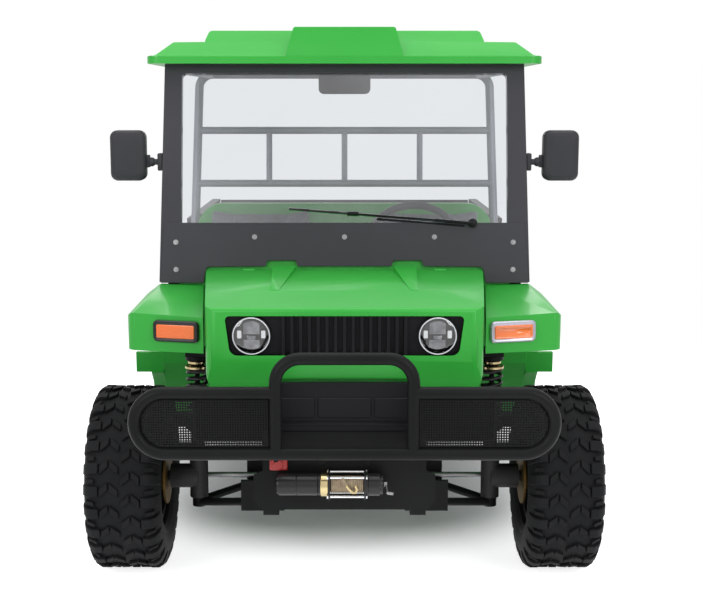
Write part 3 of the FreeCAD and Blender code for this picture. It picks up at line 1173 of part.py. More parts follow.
def rear_axle():
    """Live rear axle with its transaxle case and drive motor, on leaf springs."""
    y = S.wheelbase
    z = S.tyre_radius
    end = S.half_track - S.drum_inset - S.seat_gap
    made = bar(at(-end, y, z), at(end, y, z), S.axle_tube / 2)
    made = made.fuse(bar(at(-70, y, z), at(70, y, z), S.case_radius))
    made = made.fuse(Part.makeBox(60, S.motor_ahead, 150, at(10, y - S.motor_ahead, z - 60)))
    made = made.fuse(bar(at(70, y - S.motor_ahead, z + 15), at(70 - S.motor_length, y - S.motor_ahead, z + 15),
                         S.motor_radius))
    for side in (-1, 1):
        pad = Part.makeBox(70, 110, 22, at(side * S.spring_x - 35, y - 55, z + S.axle_tube / 2 - 10))
        made = made.fuse(pad)
    node("rear_axle", shape("axle_made", made.removeSplitter()))
    # Leaf pack: leaves from the longest, each shorter and lower by one thickness.
    seat_z = z + S.axle_tube / 2 + 12
    reach = S.leaf_reach
    x = S.spring_x - S.leaf_width / 2
    ends_z = value(RAIL_TOP) + 10 - 18
    top = Part.Arc(at(x, y - reach, ends_z + 6), at(x, y, seat_z + 36), at(x, y + reach, ends_z + 6))
    low = Part.Arc(at(x, y + reach, ends_z - 6), at(x, y, seat_z), at(x, y - reach, ends_z - 6))
    sides = [Part.LineSegment(at(x, y + reach, ends_z + 6), at(x, y + reach, ends_z - 6)),
             Part.LineSegment(at(x, y - reach, ends_z - 6), at(x, y - reach, ends_z + 6))]
    face = Part.Face(Part.Wire([top.toShape(), sides[0].toShape(), low.toShape(), sides[1].toShape()]))
    spring = face.extrude(V(S.leaf_width, 0, 0))
    for side in (-1, 1):
        eye_y = y + side * reach
        spring = spring.fuse(bar(at(x, eye_y, ends_z), at(x + S.leaf_width, eye_y, ends_z), 17.7))
    spring = spring.fuse(Part.makeBox(S.leaf_width + 10, 80, 12, at(x - 5, y - 40, seat_z + 30)))
    rear_hang = Part.makeBox(S.leaf_width, 30, value(REAR_TOP) - 70 - ends_z,
                             at(x, y + reach - 15, ends_z))
    spring = spring.fuse(rear_hang)
    node("rear_springs", both("springs", shape("spring_made", spring.removeSplitter())))


def cargo_bed():
    """Open cargo bed on two runners that tips about its rear pin, and its tailgate."""
    end = "wheelbase + rear_reach"
    rear = f"{end} - gate_wall - gate_gap"
    outer = block("bed_outer", span("bed_half"), (from_axle("bed_front_y"), from_axle(end)),
                  ("bed_low_z", "bed_top_z"))
    inner = block("bed_inner", span("bed_half - bed_wall"),
                  (from_axle("bed_front_y + bed_wall"), from_axle(f"{end} + 50")),
                  ("bed_low_z + bed_floor", "bed_top_z + 50"))
    gate_room = block("gate_room", span("bed_half - bed_wall"), (from_axle(rear), from_axle(f"{end} + 50")),
                      ("bed_low_z - 10", "bed_top_z + 50"))
    gate_pin = (from_axle(f"{end} - gate_wall / 2"), "bed_low_z + gate_gap + gate_wall / 2")
    pin_bore = rod("gate_bore", "x", gate_pin, span("bed_half + 20"), "gate_pin + seat_gap")
    rim = block("bed_rim", span("bed_half + bed_lip"), (from_axle("bed_front_y"), from_axle(end)),
                ("bed_top_z - lip_height", "bed_top_z"))
    walls = [outer, rim]
    count = int(S.stake_count)
    for number in range(count):
        place = f"bed_front_y + (wheelbase + rear_reach - bed_front_y) * {(number + 0.5) / count}"
        walls.append(block(f"stake_{number}", span("bed_half + bed_lip - 2"),
                           (from_axle(f"{place} - stake_width / 2"), from_axle(f"{place} + stake_width / 2")),
                           ("bed_low_z", "bed_top_z - lip_height / 2")))
    tub = cut("bed_tub", join("bed_walls", walls), join("bed_hollows", [inner, gate_room, pin_bore]))
    runner = block("bed_runner", (RAIL_IN, RAIL_OUT), (from_axle("bed_front_y + 20"), from_axle(f"{rear} - 20")),
                   ("bed_low_z - runner_height", "bed_low_z"))
    pin = rod("bed_pin", "x", (from_axle("bed_pivot_y"), "bed_low_z - 40"), span(f"{RAIL_OUT} + 30"), "pivot_radius")
    pieces = [tub, runner, mirrored("bed_runner_other", runner), pin]
    node("cargo_bed", join("bed_joined", pieces))
    gate = plate("gate", "yz", [
        (from_axle(f"{end} - gate_wall"), "bed_low_z + gate_gap"), (from_axle(end), "bed_low_z + gate_gap"),
        (from_axle(end), "bed_top_z - 4"), (from_axle(f"{end} - gate_wall"), "bed_top_z - 4")],
        *span("bed_half - bed_wall - gate_gap"), [((0, 1), "gate_wall / 2 - 1")])
    pins = rod("gate_pins", "x", gate_pin, span("bed_half - 4"), "gate_pin")
    node("tailgate", join("gate_and_pins", [gate, pins]))


chassis_frame()
floor_and_walls()
seats()
hood()
fenders()
bumper()
winch()
windscreen()
cage()
roof()
mirrors()
dashboard()
front_suspension()
wheels()
rear_axle()
cargo_bed()
doc.recompute()

for item in doc.Objects:
    for word in ("Invalid", "Error"):
        if word in item.State:
            raise RuntimeError(f"{item.Name} is {item.State}")
for name, item in NODES.items():
    made = item.Shape
    if made.isNull() or not made.isValid() or not made.Solids:
        raise RuntimeError(f"{name} has no sound shape")
for old in os.listdir("parts"):
    os.remove(os.path.join("parts", old))
for name, item in NODES.items():
    item.Shape.exportStep(f"parts/{name}.step")
print(len(NODES), "nodes")
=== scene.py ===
# %% [markdown]
# # An electric utility vehicle, dressed for its picture
#
# The CAD model holds every piece at its real size. This lesson gives those pieces their finish and
# builds what CAD left plain: the tread, the lamps, the springs, the winch and the upholstery. All
# of it is in metres, in the CAD model's own frame, so a piece goes where the frame says.

# %% Load the frame
import bmesh
import bpy
import json
import math
from mathutils import Matrix, Vector


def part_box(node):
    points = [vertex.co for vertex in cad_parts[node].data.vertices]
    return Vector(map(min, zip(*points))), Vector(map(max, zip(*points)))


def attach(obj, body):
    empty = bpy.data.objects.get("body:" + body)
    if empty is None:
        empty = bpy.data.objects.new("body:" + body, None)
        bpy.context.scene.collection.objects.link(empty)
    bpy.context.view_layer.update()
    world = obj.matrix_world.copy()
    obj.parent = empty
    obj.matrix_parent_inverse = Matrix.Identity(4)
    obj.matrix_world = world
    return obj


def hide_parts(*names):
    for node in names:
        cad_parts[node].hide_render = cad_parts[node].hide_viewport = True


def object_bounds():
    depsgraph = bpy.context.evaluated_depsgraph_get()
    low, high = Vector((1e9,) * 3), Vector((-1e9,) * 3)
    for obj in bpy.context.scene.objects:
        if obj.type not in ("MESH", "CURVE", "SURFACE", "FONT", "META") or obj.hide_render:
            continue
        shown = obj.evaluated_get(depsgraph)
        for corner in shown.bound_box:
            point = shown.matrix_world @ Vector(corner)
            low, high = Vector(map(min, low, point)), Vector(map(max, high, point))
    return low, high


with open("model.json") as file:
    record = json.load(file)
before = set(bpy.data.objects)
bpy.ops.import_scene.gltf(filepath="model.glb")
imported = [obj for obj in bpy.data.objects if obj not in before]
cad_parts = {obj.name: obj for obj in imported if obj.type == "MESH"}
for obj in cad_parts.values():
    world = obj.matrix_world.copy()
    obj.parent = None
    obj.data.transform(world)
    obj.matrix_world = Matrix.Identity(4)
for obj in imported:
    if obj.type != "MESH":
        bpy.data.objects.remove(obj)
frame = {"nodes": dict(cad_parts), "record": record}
cad_low, cad_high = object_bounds()
NODES = frame["nodes"]
BODY_OF = {node: body for body, nodes in frame["record"]["behaviour"]["bodies"].items() for node in nodes}
print(len(NODES), "nodes, size", [round(v, 3) for v in cad_high - cad_low])

# %% [markdown]
# ## The camera
#
# The photograph is taken from straight ahead, a little above the bumper and tilted down. The
# distance came from the tyres: at their real size of 635 mm they have to cover the same share of
# the picture. The lens shift only centres the vehicle as the photograph does.

# %% Camera
FRONT_AXLE = (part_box("tyre_front_left")[0].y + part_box("tyre_front_left")[1].y) / 2
REAR_AXLE = (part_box("tyre_rear_left")[0].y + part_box("tyre_rear_left")[1].y) / 2
PHOTO_WIDE = 702
FOCAL_PIXELS = 1269
OFF_CENTRE_PIXELS = 6.5
camera_data = bpy.data.cameras.new("camera")
camera_data.sensor_width = 36
camera_data.lens = camera_data.sensor_width * FOCAL_PIXELS / PHOTO_WIDE
camera_data.shift_x = OFF_CENTRE_PIXELS / PHOTO_WIDE
camera = bpy.data.objects.new("camera", camera_data)
camera.location = (0, FRONT_AXLE - 4.3, 1.617)
camera.rotation_euler = (math.radians(90 - 9.24), 0, 0)
bpy.context.scene.collection.objects.link(camera)
bpy.context.scene.camera = camera
print("lens", round(camera_data.lens, 1))

# %% [markdown]
# ## Floor, backdrop and light
#
# A studio picture on white needs a floor that still shows the soft shadow under the vehicle. The
# floor is plain white, and for the camera it also glows, so that it reaches white while the lamps
# stay at a level where colours look as they are written. The glow is weak in an oval under the
# vehicle and strong beyond it, so the oval is a painted shadow laid over the real one there. A few
# metres out the floor turns into the same plain white as the world, so that no horizon shows.

# %% Stage and light
WORLD_LEVEL = 0.62
# The weak glow inside the oval under the vehicle is painted shadow, added to the floor's real shadow.
GLOW_UNDER, GLOW_BEYOND = 0.05, 0.8
OVAL_HALF_WIDE, OVAL_HALF_LONG, OVAL_MIDDLE = 1.05, 1.0, 0.2
WHITE_FROM, WHITE_AT = 2.4, 4.0
scene = bpy.context.scene
scene.view_settings.view_transform = "Standard"


def seen_plainly(nodes, links):
    """One for rays that come from the camera, from a mirror-like surface or through glass."""
    path = nodes.new("ShaderNodeLightPath")
    first = nodes.new("ShaderNodeMath")
    first.operation = "MAXIMUM"
    both = nodes.new("ShaderNodeMath")
    both.operation = "MAXIMUM"
    links.new(path.outputs["Is Camera Ray"], first.inputs[0])
    links.new(path.outputs["Is Glossy Ray"], first.inputs[1])
    links.new(first.outputs[0], both.inputs[0])
    links.new(path.outputs["Is Transmission Ray"], both.inputs[1])
    return both.outputs[0]


world = bpy.data.worlds.new("studio")
scene.world = world
world.use_nodes = True
nodes, links = world.node_tree.nodes, world.node_tree.links
nodes.clear()
shown = nodes.new("ShaderNodeBackground")
shown.inputs["Strength"].default_value = 1.0
shown.inputs["Color"].default_value = (1, 1, 1, 1)
lighting = nodes.new("ShaderNodeBackground")
lighting.inputs["Color"].default_value = (0.96, 0.98, 1, 1)
lighting.inputs["Strength"].default_value = WORLD_LEVEL
mix = nodes.new("ShaderNodeMixShader")
out = nodes.new("ShaderNodeOutputWorld")
links.new(seen_plainly(nodes, links), mix.inputs[0])
links.new(lighting.outputs[0], mix.inputs[1])
links.new(shown.outputs[0], mix.inputs[2])
links.new(mix.outputs[0], out.inputs[0])

floor_material = bpy.data.materials.new("floor_white")
floor_material.use_nodes = True
nodes, links = floor_material.node_tree.nodes, floor_material.node_tree.links
nodes.clear()
paint = nodes.new("ShaderNodeBsdfDiffuse")
paint.inputs["Color"].default_value = (0.9, 0.9, 0.9, 1)
glow = nodes.new("ShaderNodeEmission")
place = nodes.new("ShaderNodeTexCoord")
oval = nodes.new("ShaderNodeMapping")
oval.inputs["Scale"].default_value = (1 / OVAL_HALF_WIDE, 1 / OVAL_HALF_LONG, 0)
oval.inputs["Location"].default_value = (0, -OVAL_MIDDLE / OVAL_HALF_LONG, 0)
reach = nodes.new("ShaderNodeVectorMath")
reach.operation = "LENGTH"
# The glow level: low inside the oval, which paints the shadow under the vehicle, full beyond it.
level = nodes.new("ShaderNodeMapRange")
level.interpolation_type = "SMOOTHSTEP"
level.inputs["From Min"].default_value = 0.76
level.inputs["From Max"].default_value = 1.22
level.inputs["To Min"].default_value = GLOW_UNDER
level.inputs["To Max"].default_value = GLOW_BEYOND
links.new(place.outputs["Object"], oval.inputs["Vector"])
links.new(oval.outputs["Vector"], reach.inputs[0])
links.new(reach.outputs["Value"], level.inputs["Value"])
links.new(level.outputs["Result"], glow.inputs["Strength"])
dark = nodes.new("ShaderNodeEmission")
dark.inputs["Strength"].default_value = 0.0
mix = nodes.new("ShaderNodeMixShader")
total = nodes.new("ShaderNodeAddShader")
out = nodes.new("ShaderNodeOutputMaterial")
links.new(seen_plainly(nodes, links), mix.inputs[0])
links.new(dark.outputs[0], mix.inputs[1])
links.new(glow.outputs[0], mix.inputs[2])
links.new(paint.outputs[0], total.inputs[0])
links.new(mix.outputs[0], total.inputs[1])
distance = nodes.new("ShaderNodeVectorMath")
distance.operation = "LENGTH"
far = nodes.new("ShaderNodeMapRange")
far.inputs["From Min"].default_value = WHITE_FROM
far.inputs["From Max"].default_value = WHITE_AT
seen_far = nodes.new("ShaderNodeMath")
seen_far.operation = "MULTIPLY"
white = nodes.new("ShaderNodeEmission")
white.inputs["Strength"].default_value = 1.0
whole = nodes.new("ShaderNodeMixShader")
links.new(place.outputs["Object"], distance.inputs[0])
links.new(distance.outputs["Value"], far.inputs["Value"])
links.new(far.outputs["Result"], seen_far.inputs[0])
links.new(seen_plainly(nodes, links), seen_far.inputs[1])
links.new(seen_far.outputs[0], whole.inputs[0])
links.new(total.outputs[0], whole.inputs[1])
links.new(white.outputs[0], whole.inputs[2])
links.new(whole.outputs[0], out.inputs[0])

floor_mesh = bpy.data.meshes.new("floor")
bm = bmesh.new()
bmesh.ops.create_grid(bm, x_segments=1, y_segments=1, size=40)
bm.to_mesh(floor_mesh)
bm.free()
floor_mesh.materials.append(floor_material)
floor = bpy.data.objects.new("floor", floor_mesh)
floor.location.z = cad_low.z
scene.collection.objects.link(floor)


def softbox(name, place, target, size, watts):
    """A large rectangular lamp that faces a point."""
    data = bpy.data.lights.new(name, "AREA")
    data.shape = "RECTANGLE"
    data.size, data.size_y = size
    data.energy = watts
    lamp = bpy.data.objects.new(name, data)
    lamp.location = place
    lamp.rotation_euler = (Vector(target) - Vector(place)).to_track_quat("-Z", "Y").to_euler()
    scene.collection.objects.link(lamp)


softbox("overhead", (0, -0.6, 4.6), (0, -0.2, 0), (4.5, 5.0), 128)
softbox("front_left", (2.8, -4.6, 2.6), (0, -0.8, 0.8), (2.2, 2.0), 62)
softbox("front_right", (-2.8, -4.6, 2.4), (0, -0.8, 0.8), (2.2, 2.0), 52)
softbox("behind", (0, 4.5, 2.8), (0, 0.6, 0.8), (3.5, 1.8), 50)

# %% [markdown]
# ## Making finishes
#
# Every finish is a Principled shader with two kinds of detail: a slow change of colour and gloss,
# as real mouldings and paint have, and a fine bump for the grain. Both read Object coordinates, so
# they stay on the piece when it moves. Values that are the same all over sit on the shader itself.

# %% Finish builder
FINISH = {}


def finish(name, colour, other, rough, grain, bump, metal=0.0, coat=0.0, spread=2.5, rough_span=0.08,
           voronoi=False, specular=0.5):
    """A finish from two close colours, a gloss, and a grain whose size is given in metres."""
    made = bpy.data.materials.new(name)
    made.use_nodes = True
    nodes, links = made.node_tree.nodes, made.node_tree.links
    shader = nodes["Principled BSDF"]
    shader.inputs["Metallic"].default_value = metal
    shader.inputs["Coat Weight"].default_value = coat
    shader.inputs["Coat Roughness"].default_value = 0.06
    shader.inputs["Specular IOR Level"].default_value = specular
    place = nodes.new("ShaderNodeTexCoord")
    slow = nodes.new("ShaderNodeTexNoise")
    slow.inputs["Scale"].default_value = spread
    slow.inputs["Detail"].default_value = 4
    blend = nodes.new("ShaderNodeValToRGB")
    blend.color_ramp.elements[0].position = 0.3
    blend.color_ramp.elements[1].position = 0.7
    blend.color_ramp.elements[0].color = (*colour, 1)
    blend.color_ramp.elements[1].color = (*other, 1)
    gloss = nodes.new("ShaderNodeMapRange")
    gloss.inputs["To Min"].default_value = rough - rough_span / 2
    gloss.inputs["To Max"].default_value = rough + rough_span / 2
    links.new(place.outputs["Object"], slow.inputs["Vector"])
    links.new(slow.outputs["Fac"], blend.inputs["Fac"])
    links.new(slow.outputs["Fac"], gloss.inputs["Value"])
    links.new(blend.outputs["Color"], shader.inputs["Base Color"])
    links.new(gloss.outputs["Result"], shader.inputs["Roughness"])
    if voronoi:
        fine = nodes.new("ShaderNodeTexVoronoi")
        height = fine.outputs["Distance"]
    else:
        fine = nodes.new("ShaderNodeTexNoise")
        fine.inputs["Detail"].default_value = 2
        height = fine.outputs["Fac"]
    fine.inputs["Scale"].default_value = 1 / grain
    relief = nodes.new("ShaderNodeBump")
    relief.inputs["Strength"].default_value = bump
    relief.inputs["Distance"].default_value = grain / 4
    links.new(place.outputs["Object"], fine.inputs["Vector"])
    links.new(height, relief.inputs["Height"])
    links.new(relief.outputs["Normal"], shader.inputs["Normal"])
    FINISH[name] = made
    return made


GREEN = (0.026, 0.37, 0.036)
GREEN_DEEP = (0.020, 0.335, 0.032)
finish("body_green", GREEN, GREEN_DEEP, 0.42, 0.004, 0.02, coat=0.08, specular=0.35)
finish("frame_black", (0.007, 0.0075, 0.0075), (0.011, 0.0115, 0.0115), 0.38, 0.0012, 0.12, specular=0.09)
finish("screen_black", (0.034, 0.033, 0.040), (0.042, 0.041, 0.049), 0.4, 0.0012, 0.1, specular=0.25)
finish("cage_grey", (0.24, 0.24, 0.28), (0.28, 0.28, 0.32), 0.38, 0.001, 0.08, metal=0.2)
finish("trim_black", (0.026, 0.026, 0.031), (0.034, 0.034, 0.039), 0.5, 0.0016, 0.3, voronoi=True, specular=0.25)
finish("grille_black", (0.006, 0.006, 0.007), (0.010, 0.010, 0.012), 0.42, 0.0016, 0.2, specular=0.15)
finish("bed_black", (0.018, 0.018, 0.019), (0.026, 0.026, 0.027), 0.62, 0.003, 0.5, specular=0.25)
finish("tyre_rubber", (0.008, 0.0085, 0.009), (0.014, 0.0145, 0.015), 0.62, 0.002, 0.25, spread=9, specular=0.1)
finish("rim_black", (0.012, 0.012, 0.013), (0.018, 0.018, 0.019), 0.3, 0.001, 0.06, specular=0.3)
finish("brake_gold", (0.23, 0.135, 0.035), (0.12, 0.07, 0.025), 0.45, 0.002, 0.3, metal=0.85, spread=16)
finish("steel_bare", (0.34, 0.34, 0.34), (0.24, 0.24, 0.25), 0.32, 0.001, 0.12, metal=1.0, spread=20)
finish("chrome", (0.78, 0.79, 0.80), (0.70, 0.71, 0.73), 0.10, 0.002, 0.02, metal=1.0, spread=12)
finish("optic_grey", (0.30, 0.30, 0.32), (0.10, 0.10, 0.11), 0.18, 0.004, 0.25, metal=1.0, spread=55, voronoi=True)
finish("casting_black", (0.020, 0.020, 0.021), (0.034, 0.033, 0.032), 0.55, 0.003, 0.4, spread=8, specular=0.25)
finish("seat_vinyl", (0.085, 0.085, 0.105), (0.105, 0.105, 0.128), 0.5, 0.0018, 0.5, voronoi=True, specular=0.35)
finish("brass_bright", (0.62, 0.50, 0.27), (0.50, 0.40, 0.22), 0.25, 0.002, 0.05, metal=1.0, spread=14)
finish("bezel_dark", (0.012, 0.012, 0.013), (0.018, 0.018, 0.019), 0.25, 0.002, 0.05, specular=0.3)
# A light, half-metallic copy of the dark bezel: a painted highlight, used on the left turn lamp's bezel.
finish("bezel_painted_highlight", (0.42, 0.41, 0.47), (0.34, 0.33, 0.39), 0.28, 0.002, 0.04, metal=0.6)
finish("ring_white", (0.72, 0.74, 0.77), (0.60, 0.62, 0.65), 0.22, 0.002, 0.02, coat=0.6, spread=20)
finish("amber_lens", (0.86, 0.17, 0.010), (0.80, 0.11, 0.006), 0.16, 0.006, 0.25, coat=0.9, voronoi=True)
finish("red_lens", (0.50, 0.012, 0.012), (0.38, 0.008, 0.008), 0.14, 0.005, 0.25, coat=0.9, voronoi=True)
finish("plug_red", (0.42, 0.020, 0.018), (0.34, 0.015, 0.014), 0.35, 0.002, 0.1)
finish("rope_tan", (0.42, 0.33, 0.22), (0.30, 0.23, 0.15), 0.75, 0.0016, 0.6, spread=60)
finish("battery_grey", (0.06, 0.06, 0.065), (0.08, 0.08, 0.085), 0.5, 0.002, 0.2)
finish("dial_pale", (0.55, 0.56, 0.55), (0.48, 0.49, 0.48), 0.4, 0.002, 0.05, spread=20)


def glass_finish(name, tint, rough):
    """Clear sheet glass or plastic: mostly see-through, with a reflection that grows at grazing angles."""
    made = bpy.data.materials.new(name)
    made.use_nodes = True
    nodes, links = made.node_tree.nodes, made.node_tree.links
    nodes.clear()
    clear = nodes.new("ShaderNodeBsdfTransparent")
    clear.inputs["Color"].default_value = (*tint, 1)
    shine = nodes.new("ShaderNodeBsdfGlossy")
    shine.inputs["Roughness"].default_value = rough
    shine.inputs["Color"].default_value = (1, 1, 1, 1)
    facing = nodes.new("ShaderNodeFresnel")
    facing.inputs["IOR"].default_value = 1.45
    streak = nodes.new("ShaderNodeTexNoise")
    streak.inputs["Scale"].default_value = 3
    place = nodes.new("ShaderNodeTexCoord")
    amount = nodes.new("ShaderNodeMath")
    amount.operation = "MULTIPLY_ADD"
    amount.inputs[1].default_value = 0.14
    mix = nodes.new("ShaderNodeMixShader")
    out = nodes.new("ShaderNodeOutputMaterial")
    links.new(place.outputs["Object"], streak.inputs["Vector"])
    links.new(streak.outputs["Fac"], amount.inputs[0])
    links.new(facing.outputs[0], amount.inputs[2])
    links.new(amount.outputs[0], mix.inputs[0])
    links.new(clear.outputs[0], mix.inputs[1])
    links.new(shine.outputs[0], mix.inputs[2])
    links.new(mix.outputs[0], out.inputs[0])
    made.surface_render_method = "BLENDED"
    FINISH[name] = made
    return made


glass_finish("windscreen_clear", (0.87, 0.885, 0.90), 0.02)
glass_finish("lamp_clear", (0.97, 0.98, 0.98), 0.03)
print(len(FINISH), "finishes")

# %% [markdown]
# ## Softening a CAD piece
#
# CAD solids have knife edges and come as loose triangles. A real moulding or a painted weldment
# catches a line of light along every edge. So most pieces get a skin: a welded copy of the node
# whose flat triangles are joined again and whose sharp edges are bevelled. The copy stands for the
# node in the picture, and the node itself is hidden and left unchanged. The copy stands for the
# node in the picture, and the node stays what the checks use.

# %% Skin helper
SMOOTH_UNDER = math.radians(34)


def into_scene(name, mesh, finish_name, body):
    """Puts a finished mesh in the scene, riding on its body."""
    mesh.materials.clear()
    mesh.materials.append(FINISH[finish_name])
    piece = bpy.data.objects.new(name, mesh)
    scene.collection.objects.link(piece)
    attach(piece, body)
    return piece


def baked(piece):
    """Applies a piece's modifiers to its mesh."""
    graph = bpy.context.evaluated_depsgraph_get()
    mesh = bpy.data.meshes.new_from_object(piece.evaluated_get(graph))
    piece.modifiers.clear()
    piece.data = mesh
    return piece


def soften(piece, width, segments=2, angle=SMOOTH_UNDER):
    """Bevels the sharp edges and shades the rest smooth."""
    for face in piece.data.polygons:
        face.use_smooth = True
    piece.data.set_sharp_from_angle(angle=angle)
    bevel = piece.modifiers.new("edges", "BEVEL")
    bevel.width = width
    bevel.segments = segments
    bevel.limit_method = "ANGLE"
    bevel.angle_limit = angle
    bevel.harden_normals = True
    bevel.use_clamp_overlap = True
    return baked(piece)


def skin(node, finish_name, width=0.002, segments=2):
    """A welded, bevelled copy of a CAD node that stands for it."""
    bm = bmesh.new()
    bm.from_mesh(NODES[node].data)
    bmesh.ops.remove_doubles(bm, verts=bm.verts, dist=0.00002)
    bmesh.ops.dissolve_limit(bm, angle_limit=math.radians(0.05), verts=bm.verts, edges=bm.edges)
    mesh = bpy.data.meshes.new(node + "_skin")
    bm.to_mesh(mesh)
    bm.free()
    piece = into_scene(node + "_skin", mesh, finish_name, BODY_OF[node])
    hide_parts(node)
    return soften(piece, width, segments)


SKINS = {
    "chassis_frame": ("frame_black", 0.003), "floor_pan": ("bed_black", 0.002),
    "cab_front_wall": ("body_green", 0.003), "body_sides": ("body_green", 0.006),
    "seat_box": ("trim_black", 0.004), "rear_bulkhead": ("body_green", 0.006),
    "hood_shell": ("body_green", 0.0025), "grille": ("grille_black", 0.002),
    "front_fenders": ("body_green", 0.004), "front_bumper": ("frame_black", 0.001),
    "winch_plate": ("frame_black", 0.0015), "nose_lower_panel": ("grille_black", 0.004),
    "windscreen_frame": ("screen_black", 0.003), "cowl_panel": ("screen_black", 0.0015),
    "cab_frame": ("cage_grey", 0.001), "roof": ("body_green", 0.006),
    "dashboard": ("trim_black", 0.008), "steering_wheel": ("trim_black", 0.002),
    "steering_column": ("trim_black", 0.002), "front_arms": ("frame_black", 0.001),
    "knuckle_left": ("casting_black", 0.002), "knuckle_right": ("casting_black", 0.002),
    "steering_rack": ("steel_bare", 0.001), "rear_axle": ("casting_black", 0.003),
    "rear_springs": ("casting_black", 0.002), "cargo_bed": ("bed_black", 0.003),
    "tailgate": ("bed_black", 0.003), "battery_pack": ("battery_grey", 0.004),
}
for node, (finish_name, width) in SKINS.items():
    skin(node, finish_name, width)
print(len(SKINS), "skins")

# %% [markdown]
# ## Tools for new pieces
#
# Most small parts of a vehicle are turned, pressed or extruded, and bmesh has an operator for each:
# spin for a turned form, extrude and bevel for a block, create_cone for a bar. Three helpers wrap
# them. They work in metres, and MM turns a workshop size into metres.

# %% Modelling helpers
MM = 0.001


def lathe(bm, outline, centre, axis, steps=48, closed=False):
    """Spins an outline of places along the axis and radii, in mm, round the axis."""
    axis = Vector(axis).normalized()
    out = axis.orthogonal().normalized()
    points = [Vector(centre) + axis * along * MM + out * radius * MM for along, radius in outline]
    verts = [bm.verts.new(point) for point in points]
    edges = [bm.edges.new(pair) for pair in zip(verts, verts[1:])]
    if closed:
        edges.append(bm.edges.new((verts[-1], verts[0])))
    bmesh.ops.spin(bm, geom=verts + edges, cent=centre, axis=axis, dvec=(0, 0, 0), angle=2 * math.pi,
                   steps=steps, use_merge=True, use_duplicate=False)
    bmesh.ops.remove_doubles(bm, verts=bm.verts, dist=0.000005)


def rod(bm, start, end, radius, sides=20):
    """A round bar between two points, with its radius in mm."""
    start, end = Vector(start), Vector(end)
    turn = (end - start).to_track_quat("Z", "Y").to_matrix().to_4x4()
    bmesh.ops.create_cone(bm, cap_ends=True, segments=sides, radius1=radius * MM, radius2=radius * MM,
                          depth=(end - start).length, matrix=Matrix.Translation((start + end) / 2) @ turn)


def block(bm, low, high, edge=1.0, segments=2):
    """A bevelled box between two corners in metres, with the bevel in mm."""
    low, high = Vector(low), Vector(high)
    made = bmesh.ops.create_cube(bm, size=1)["verts"]
    bmesh.ops.scale(bm, vec=high - low, verts=made)
    bmesh.ops.translate(bm, vec=(low + high) / 2, verts=made)
    edges = list({e for v in made for e in v.link_edges})
    bmesh.ops.bevel(bm, geom=edges, offset=edge * MM, offset_type="OFFSET", segments=segments,
                    profile=0.5, affect="EDGES", material=-1)


def beam(bm, start, end, wide, deep, edge=1.0):
    """A bevelled flat bar between two points, with its section in mm."""
    start, end = Vector(start), Vector(end)
    turn = (end - start).to_track_quat("Z", "Y").to_matrix().to_4x4()
    made = bmesh.ops.create_cube(bm, size=1)["verts"]
    bmesh.ops.scale(bm, vec=(wide * MM, deep * MM, (end - start).length), verts=made)
    bmesh.ops.transform(bm, matrix=Matrix.Translation((start + end) / 2) @ turn, verts=made)
    bmesh.ops.bevel(bm, geom=list({e for v in made for e in v.link_edges}), offset=edge * MM, offset_type="OFFSET",
                    segments=2, profile=0.5, affect="EDGES", material=-1)


def pressed(bm, place, wide, high, radius, steps):
    """A panel with round corners that grows towards -Y in steps of a margin and a rise, in mm."""
    before = set(bm.verts)
    corners = bmesh.ops.create_grid(bm, x_segments=1, y_segments=1, size=0.5,
                                    matrix=Matrix.Rotation(math.pi / 2, 4, "X"))["verts"]
    bmesh.ops.scale(bm, vec=(wide * MM, 1, high * MM), verts=corners)
    bmesh.ops.bevel(bm, geom=corners, offset=radius * MM, offset_type="OFFSET", segments=6, profile=0.5,
                    affect="VERTICES", material=-1)
    face = next(f for f in bm.faces if not before.intersection(f.verts))
    for margin, rise in steps:
        moved = bmesh.ops.extrude_face_region(bm, geom=[face])["geom"]
        face = next(g for g in moved if isinstance(g, bmesh.types.BMFace))
        bmesh.ops.scale(bm, vec=(1 - 2 * margin / wide, 1, 1 - 2 * margin / high), verts=face.verts)
        bmesh.ops.translate(bm, vec=(0, -rise * MM, 0), verts=face.verts)
        wide, high = wide - 2 * margin, high - 2 * margin
    bmesh.ops.transform(bm, matrix=place, verts=[v for v in bm.verts if v not in before])


def piece(name, bm, finish_name, body, replaced=(), angle=SMOOTH_UNDER):
    """Turns a bmesh into a piece of the scene that rides on a body."""
    bmesh.ops.recalc_face_normals(bm, faces=bm.faces)
    mesh = bpy.data.meshes.new(name)
    bm.to_mesh(mesh)
    bm.free()
    for face in mesh.polygons:
        face.use_smooth = True
    mesh.set_sharp_from_angle(angle=angle)
    made = into_scene(name, mesh, finish_name, body)
    if replaced:
        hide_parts(*replaced)
    return made


SIDES = {"left": 1, "right": -1}

# %% [markdown]
# ## Tyres
#
# The tyre is the part everyone notices: a rounded carcass with rows of slanted lugs that wrap over
# the shoulder. One pitch of tread is built at the top of the tyre, as six bevelled lugs, and the
# spin operator copies it round. The two halves are half a pitch apart, which gives the zigzag.

# %% Tread
PITCHES = 26
OVER_LUGS = 317.5


def lug(corners, push, edge=2.0):
    """One lug as a mesh, from the corners of one face in mm and how far it is pushed."""
    bm = bmesh.new()
    face = bm.faces.new([bm.verts.new(Vector(corner) * MM) for corner in corners])
    pushed = bmesh.ops.extrude_face_region(bm, geom=[face])["geom"]
    bmesh.ops.translate(bm, verts=[v for v in pushed if isinstance(v, bmesh.types.BMVert)], vec=Vector(push) * MM)
    bmesh.ops.recalc_face_normals(bm, faces=bm.faces)
    bmesh.ops.bevel(bm, geom=bm.edges[:], offset=edge * MM, offset_type="OFFSET", segments=1, profile=0.5,
                    affect="EDGES", material=-1)
    mesh = bpy.data.meshes.new("lug")
    bm.to_mesh(mesh)
    bm.free()
    return mesh


def crown(reach):
    """The height of a flat lug whose corners reach this far from its middle, so that they just touch the ground."""
    return math.sqrt(OVER_LUGS ** 2 - reach ** 2)


